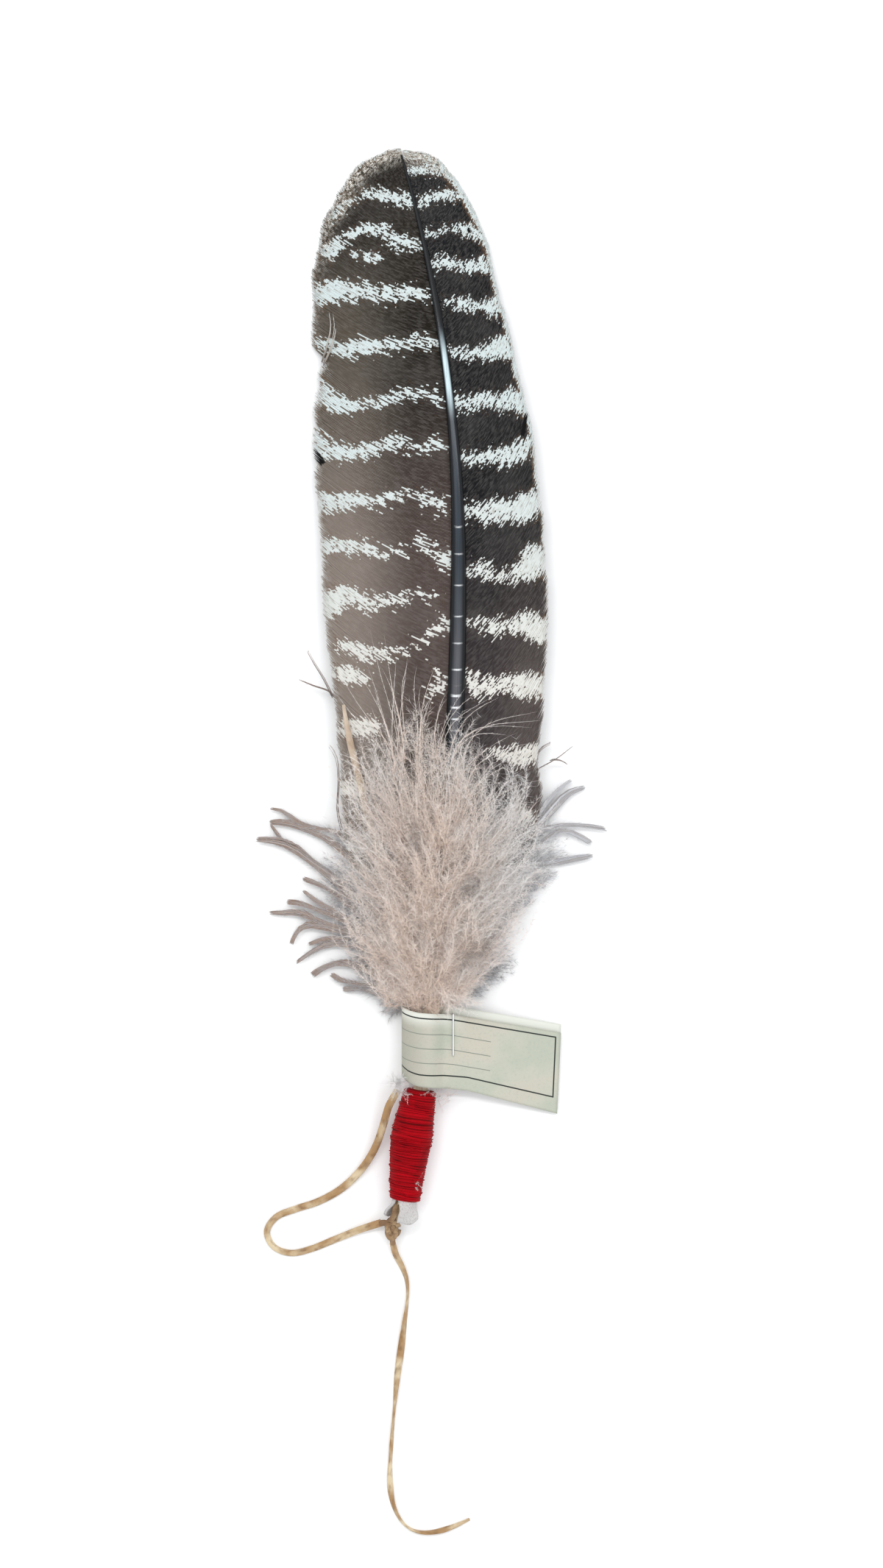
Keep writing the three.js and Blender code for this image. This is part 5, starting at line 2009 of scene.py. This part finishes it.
    def sleeve(self) -> Piece:
        """Makes the leather sleeve: a rolled sheet, open along a slit, that flares at its mouth.

        Returns:
            The new object.
        """
        work, around, share = flat_sheet(across=40, down=44)
        depth = self.sleeve_top + share * self.sleeve_length
        flare = smoothstep(32.0, 38.0, depth)
        opening = 0.03 + 0.14 * smoothstep(30.0, 35.0, depth)
        angle = math.radians(self.slit_at) + math.tau * ((around - 0.5) * (1 - opening) + 0.5)
        radius = self.sleeve_radius + 1.35 * flare + 0.25 * flare * np.sin(3 * angle)
        trim = flare * (1.5 * np.cos(angle) ** 2 + 0.35 * np.sin(5.0 * angle))
        across = radius * np.cos(angle) - 0.4 * flare
        set_corners(work, self.on_axis(across, depth - trim, radius * np.sin(angle)))
        bmesh.ops.recalc_face_normals(work, faces=work.faces)
        piece = smooth_object("leather_sleeve_rolled", work)
        wall = piece.modifiers.new("wall", "SOLIDIFY")
        wall.thickness = self.sleeve_wall * Unit.MM
        wall.offset = 0.0
        # The inner faces take the second, darker material: painted shade inside the sleeve.
        wall.material_offset = 1
        for finish in (self.OUTSIDE, self.SHADED_INSIDE):
            piece.data.materials.append(finish.material())
        return piece

    def build(self) -> None:
        """Makes the binding and the sleeve and hands them over."""
        finish_piece(self.thread(), ("thread_wrap",))
        self.strays()
        finish_piece(self.sleeve(), ("leather_sleeve",))


@dataclass
class Tag:
    """The folded paper tag and its staple."""

    center_y: float = -103.3
    thickness: float = 0.3
    layer_gap: float = 0.42
    pinch: tuple[float, float] = (5.6, 5.5)
    flap_end: tuple[float, float] = (38.4, 0.75)
    helix: float = 2.4
    top_edge: tuple[Spot, ...] = ((-8.2, -91.6), (-5.6, -92.1), (-3.3, -92.5), (6.0, -93.3), (36.8, -98.8))
    low_edge: tuple[Spot, ...] = (
        (-8.2, -111.4), (-6.4, -112.4), (-3.6, -113.3), (4.0, -114.2), (10.1, -114.9), (35.7, -121.8),
    )
    staple_spot: Spot = (6.1, -99.0)
    staple_half: float = 5.8
    staple_z: float = 6.25
    clinch: float = 1.75
    wire: float = 0.27
    loop: tuple[float, float, float, float] = (-6.7, 10.6, 1.5, 6.0)
    flap_steps: int = 30
    bend_steps: int = 15

    def line(self) -> Floats:
        """The strip's line across the quill, from the front flap's end round the loop to the back's.

        Returns:
            The line's points, across and up.
        """
        half = (self.layer_gap + 0.4) / 2
        left, top, bottom, middle = self.loop
        front = (self.pinch[0], self.pinch[1] + half)
        back = (self.pinch[0], self.pinch[1] - half)

        def bezier(*corners: tuple[float, float]) -> Floats:
            """Finds the points of a curve that four places steer."""
            t = np.linspace(0, 1, self.bend_steps)[:, None]
            a, b, c, d = (np.array(p) for p in corners)
            return a * (1 - t) ** 3 + 3 * b * t * (1 - t) ** 2 + 3 * c * t**2 * (1 - t) + d * t**3

        run = np.linspace(0, 1, self.flap_steps)[:, None]
        end_front = np.array([self.flap_end[0], self.flap_end[1] + 2 * half])
        end_back = np.array(self.flap_end)
        parts = [
            end_front + (np.array(front) - end_front) * run,
            bezier(front, (3.6, 6.6), (2.6, top), (-0.5, top))[1:],
            bezier((-0.5, top), (-3.8, top), (left, 8.6), (left, middle))[1:],
            bezier((left, middle), (left, 3.2), (-3.8, bottom), (-0.5, bottom))[1:],
            bezier((-0.5, bottom), (2.6, bottom), (3.6, 4.4), back)[1:],
            (np.array(back) + (end_back - np.array(back)) * run)[1:],
        ]
        return np.vstack(parts)

    def paper(self) -> Piece:
        """Makes the folded strip, with its measures as numbers on its corners for the printed lines and the
        painted light and shade.

        Returns:
            The new object.
        """
        line = self.line()
        work, share, v = flat_sheet(across=len(line) - 1, down=30)
        index = np.rint(share * (len(line) - 1)).astype(int)
        length = lengths_along(line)
        across, up, run = line[index, 0], line[index, 1], length[index]
        fold = length[self.flap_steps - 1 + 2 * (self.bend_steps - 1)]
        wound = smoothstep(fold - 6.0, fold + 9.0, run)
        flap = np.clip(across / self.flap_end[0], 0.0, 1.0)
        x = float(SHAFT.x(self.center_y)) + across - 1.1 * (1 - v) * flap
        high = np.interp(x, *zip(*self.top_edge))
        low = np.interp(x, *zip(*self.low_edge))
        width = high - low
        y = low + width * v + self.helix * wound
        curl = 0.35 * np.sin(v * math.pi) + 0.5 * np.sin(across / 11.0)
        up = up + curl * flap * (1.2 - flap)
        set_corners(work, np.column_stack([x, y, up]))
        piece = smooth_object("paper_tag_sheet", work)
        face = np.where(run < fold + 4.0, 1.0, 0.0)
        add_values(piece.data, {"top": width * (1 - v), "low": width * v, "end": run, "face": face})
        wall = piece.modifiers.new("card", "SOLIDIFY")
        wall.thickness = self.thickness * Unit.MM
        wall.offset = 0.0
        piece.data.materials.append(PaperFinish().material())
        return piece

    def staple(self) -> Piece:
        """Makes the staple: a round wire with its two ends clinched inwards under the card.

        Returns:
            The new object.
        """
        x, y = self.staple_spot
        half, z = self.staple_half, self.staple_z
        under = z - self.clinch
        points = spline([
            (x, y - half + 3.0, under), (x, y - half + 0.5, under + 0.05), (x, y - half, under + 0.4),
            (x, y - half, z - 0.35), (x, y - half + 0.35, z), (x, y, z + 0.05), (x, y + half - 0.35, z),
            (x, y + half, z - 0.35), (x, y + half, under + 0.4), (x, y + half - 0.5, under + 0.05),
            (x, y + half - 3.0, under),
        ], 120)

        def place(share: Floats, angle: Floats) -> Floats:
            """Finds places on the skin from the share of the length and the angle round it."""
            at, forward, _, _ = along_path(points, share)
            side = np.array([1.0, 0.0, 0.0])
            other = np.cross(forward, side)
            return at + self.wire * (np.cos(angle)[:, None] * side + np.sin(angle)[:, None] * other)

        piece, _, _ = bent_tube("staple_wire_bent", sides=12, cuts=90, place=place)
        piece.data.materials.append(SteelFinish().material())
        return piece

    def build(self) -> None:
        """Makes the tag and its staple and hands them over."""
        finish_piece(self.paper(), ("paper_tag",))
        finish_piece(self.staple(), ("staple",))


class FarEnd(Enum):
    """Where a strand of the lace ends."""

    BARE = "bare"
    OBJECT = "object"


@dataclass
class Strand:
    """One free run of the flat lace."""

    name: str
    node: str
    route: Sequence[tuple[float, ...]]
    twists: float
    far_end: FarEnd
    widths: Sequence[float] = (1.0, 1.0)
    width: float = 2.2
    thickness: float = 0.8

    def points(self) -> Floats:
        """The strand's line, with the heights of a run on the vane taken from the vane.

        Returns:
            The line's points.
        """
        knots = []
        for x, y, *z in self.route:
            on_vane = float(WIDE_VANE.height(np.array(x), np.array(y))) + 1.4
            knots.append((x, y, z[0] if z else on_vane))
        return spline(knots, 160)

    def build(self, finish: Material) -> Piece:
        """Args:
            finish: The lace's material.

        Returns:
            The new object.
        """
        points = self.points()

        def place(share: Floats, angle: Floats) -> Floats:
            """Finds places on the skin from the share of the length and the angle round it."""
            wide = np.interp(share, np.linspace(0, 1, len(self.widths)), self.widths)
            twist = math.tau * self.twists * share
            a = np.cos(angle) * self.width / 2 * wide
            b = np.sin(angle) * self.thickness / 2
            across = a * np.cos(twist) - b * np.sin(twist)
            return beside_path(points, share, across, a * np.sin(twist) + b * np.cos(twist))

        piece, _, _ = bent_tube(self.name, sides=14, cuts=150, place=place)
        piece.data.materials.append(finish)
        finish_piece(piece, (self.node,))
        metres = Unit.place(points)
        return piece


class Lace:
    """The leather lace: its hitch at the sleeve's mouth and its three runs."""

    TAIL = (
        (-11.1, -158.3, 2.9), (-10.2, -161.8, 1.7), (-8.4, -165.6, 0.9), (-7.1, -169.4, 0.6),
        (-6.9, -174.6, 0.6), (-7.8, -181.7, 0.6), (-8.7, -188.8, 0.6), (-9.7, -195.8, 0.6),
        (-10.4, -202.9, 0.6), (-11, -210, 0.6), (-11.6, -218, 0.6), (-11.9, -225.4, 0.6),
        (-11.3, -231.8, 0.6), (-9.4, -236.8, 0.6), (-6.4, -240, 0.6), (-2.4, -241.2, 0.6),
        (2, -240.8, 0.6), (6.4, -239.4, 0.6), (10.8, -237.4, 0.6),
    )
    LOOP = (
        (-14.3, -152.6, 3.2), (-17.2, -153.6, 2.3), (-21.5, -155.2, 1.3), (-28, -157.9, 0.6),
        (-34, -160.3, 0.6), (-40, -161.6, 0.6), (-45, -159.8, 0.6), (-46.9, -155.4, 0.6),
        (-44.2, -151.3, 0.6), (-38.6, -149, 0.6), (-32, -146.8, 0.6), (-25.4, -143, 0.8),
        (-19.8, -137.4, 1.6), (-16, -131.2, 3), (-13.8, -125, 4.6), (-12.1, -119.2, 6),
        (-9.6, -114.6, 6.8),
    )
    END = (
        (-6.6, -111), (-5.4, -104), (-4.8, -97), (-4.9, -90), (-7.8, -78), (-12.2, -60),
        (-15.6, -46), (-18.3, -36), (-20.4, -26.5), (-22.6, -18), (-23.9, -11.7), (-24.9, -5.6),
    )
    TAIL_WIDTHS = (0.8, 1, 1, 0.95, 0.95, 0.9, 0.85, 0.8, 0.5, 0.8, 0.7, 0.85, 0.8, 0.35)
    END_WIDTHS = (0.9, 0.9, 0.9, 0.9, 0.92, 0.95, 1, 1, 1.05, 1, 0.45)
    BANDS = (
        ("core", 1.05, 0.5, ((-10.7, -152.2, 3.3), (-11.3, -154.3, 3.6), (-10.9, -156.4, 3.2))),
        ("rise", 0.8, 0.35, ((-10.2, -145.5, 5.2), (-10.6, -149.6, 5.4), (-11.6, -152.2, 4.5))),
        ("back", 0.7, 0.35, ((-9.6, -145.5, 4.2), (-9.9, -149.8, 4.3), (-10, -152.6, 3.6))),
        ("left", 0.9, 0.4, ((-11.6, -153.4, 4.2), (-13.2, -152.6, 3.7), (-14.9, -152.8, 3.1))),
        ("foot", 0.8, 0.4, ((-10.9, -155.6, 3.9), (-11.1, -157.2, 3.4), (-11, -159, 2.7))),
    )
    TAN = HideFinish("tan_lace", tone(158, 124, 84), tone(206, 188, 156), tone(108, 78, 48), 0.55)
    PALE = HideFinish("pale_lace", tone(180, 161, 142), tone(202, 188, 170), tone(150, 128, 108), 0.7)
    # The knot's lace is a darker tone than its runs.
    DARK_KNOT = HideFinish("dark_knot_lace", tone(128, 96, 66), tone(178, 152, 116), tone(80, 56, 36), 0.5)

    def band(
        self, name: str, points: Floats, half: float, thick: float, finish: Material
    ) -> None:
        """Makes a short band of the lace.

        Args:
            name: The piece's name.
            points: The line that it follows, flat side up.
            half: Half its width.
            thick: Half its thickness.
            finish: Its material.
        """
        def place(share: Floats, angle: Floats) -> Floats:
            """Finds places on the skin from the share of the length and the angle round it."""
            return beside_path(points, share, half * np.cos(angle), thick * np.sin(angle))

        piece, _, _ = bent_tube(name, sides=12, cuts=110, place=place)
        piece.data.materials.append(finish)
        finish_piece(piece, ("lace_knot",))

    def knot(self, finish: Material) -> None:
        """Makes the hitch: a drawn-up knot at the sleeve's mouth, and the short runs into and out of it.

        Args:
            finish: Its material.
        """
        turn = np.linspace(0.25, 2 * math.tau - 0.1, 160)
        reach = 1.0 + 0.3 * np.cos(1.5 * turn)
        x = -11.1 + 1.38 * reach * np.cos(turn)
        y = -154.3 + 2.15 * reach * np.sin(turn)
        self.band("lace_hitch", np.column_stack([x, y, 3.7 + 0.75 * np.sin(1.5 * turn)]), 0.72, 0.42, finish)
        for name, half, thick, spots in self.BANDS:
            self.band(f"lace_hitch_{name}", spline(spots, 40), half, thick, finish)

    def build(self) -> None:
        """Makes the runs and the hitch."""
        tan, pale = self.TAN.material(), self.PALE.material()
        Strand("lace_tail_run", "lace_tail", self.TAIL, 1.5, FarEnd.BARE, self.TAIL_WIDTHS).build(tan)
        Strand("lace_loop_run", "lace_loop", self.LOOP, 0.0, FarEnd.OBJECT, (1.0, 0.8, 1.0, 1.0)).build(tan)
        Strand("lace_end_run", "lace_end", self.END, 0.0, FarEnd.BARE, self.END_WIDTHS, 2.0).build(pale)
        self.knot(self.DARK_KNOT.material())


@dataclass
class Studio:
    """The camera, the floor and the lights."""

    distance: float = 0.9
    frame_height: float = 0.44396
    middle: tuple[float, float] = (0.0028, -0.0256)
    plane_z: float = 0.006
    sensor: float = 36.0
    LAMPS = (
        ("key", (-0.5, 0.7, 1.5), (1.0, 1.0), 3.5),
        ("fill", (0.9, -0.4, 1.2), (1.4, 1.4), 3.5),
        ("strip", (0.0, 0.49, 1.38), (1.6, 0.09), 7.0),
    )

    def camera(self) -> None:
        """Puts the camera straight above, with the photograph's framing."""
        data = bpy.data.cameras.new("camera")
        camera = bpy.data.objects.new("camera", data)
        bpy.context.scene.collection.objects.link(camera)
        data.sensor_width = self.sensor
        data.lens = self.sensor * self.distance / self.frame_height
        data.clip_end = 20.0
        camera.location = (*self.middle, self.plane_z + self.distance)
        bpy.context.scene.camera = camera

    def floor(self) -> None:
        """Lays a plain pale floor."""
        work = bmesh.new()
        bmesh.ops.create_grid(work, x_segments=1, y_segments=1, size=4.0)
        mesh = bpy.data.meshes.new("floor")
        work.to_mesh(mesh)
        work.free()
        piece = new_object("floor", mesh)
        shader = Shader("floor_white", roughness=0.9, specular=0.1)
        shader.colour((0.92, 0.92, 0.92))
        piece.data.materials.append(shader.material)

    def lights(self) -> None:
        """Hangs a soft light on each side and a narrow strip above the tip, under a white sky."""
        world = bpy.data.worlds.new("white")
        world.use_nodes = True
        sky = world.node_tree.nodes["Background"]
        sky.inputs["Color"].default_value = (0.97, 0.985, 1.0, 1.0)
        sky.inputs["Strength"].default_value = 0.95
        bpy.context.scene.world = world
        for name, place, size, power in self.LAMPS:
            data = bpy.data.lights.new(name, "AREA")
            data.shape = "RECTANGLE"
            data.size, data.size_y = size
            data.energy = power
            lamp = bpy.data.objects.new(name, data)
            lamp.location = place
            lamp.rotation_euler = (Vector((0, 0, 0)) - Vector(place)).to_track_quat("-Z", "Y").to_euler()
            bpy.context.scene.collection.objects.link(lamp)

    def build(self) -> None:
        """Makes the whole setting."""
        self.camera()
        self.floor()
        self.lights()
        bpy.context.scene.view_settings.view_transform = "Standard"


def main() -> None:
    """Builds every piece around the frame."""
    logging.basicConfig(level=logging.INFO, format="%(message)s")
    Studio().build()
    Lace().build()
    Feather().build()
    Down().build()
    Handle().build()
    Tag().build()


if __name__ == "__main__":
    main()
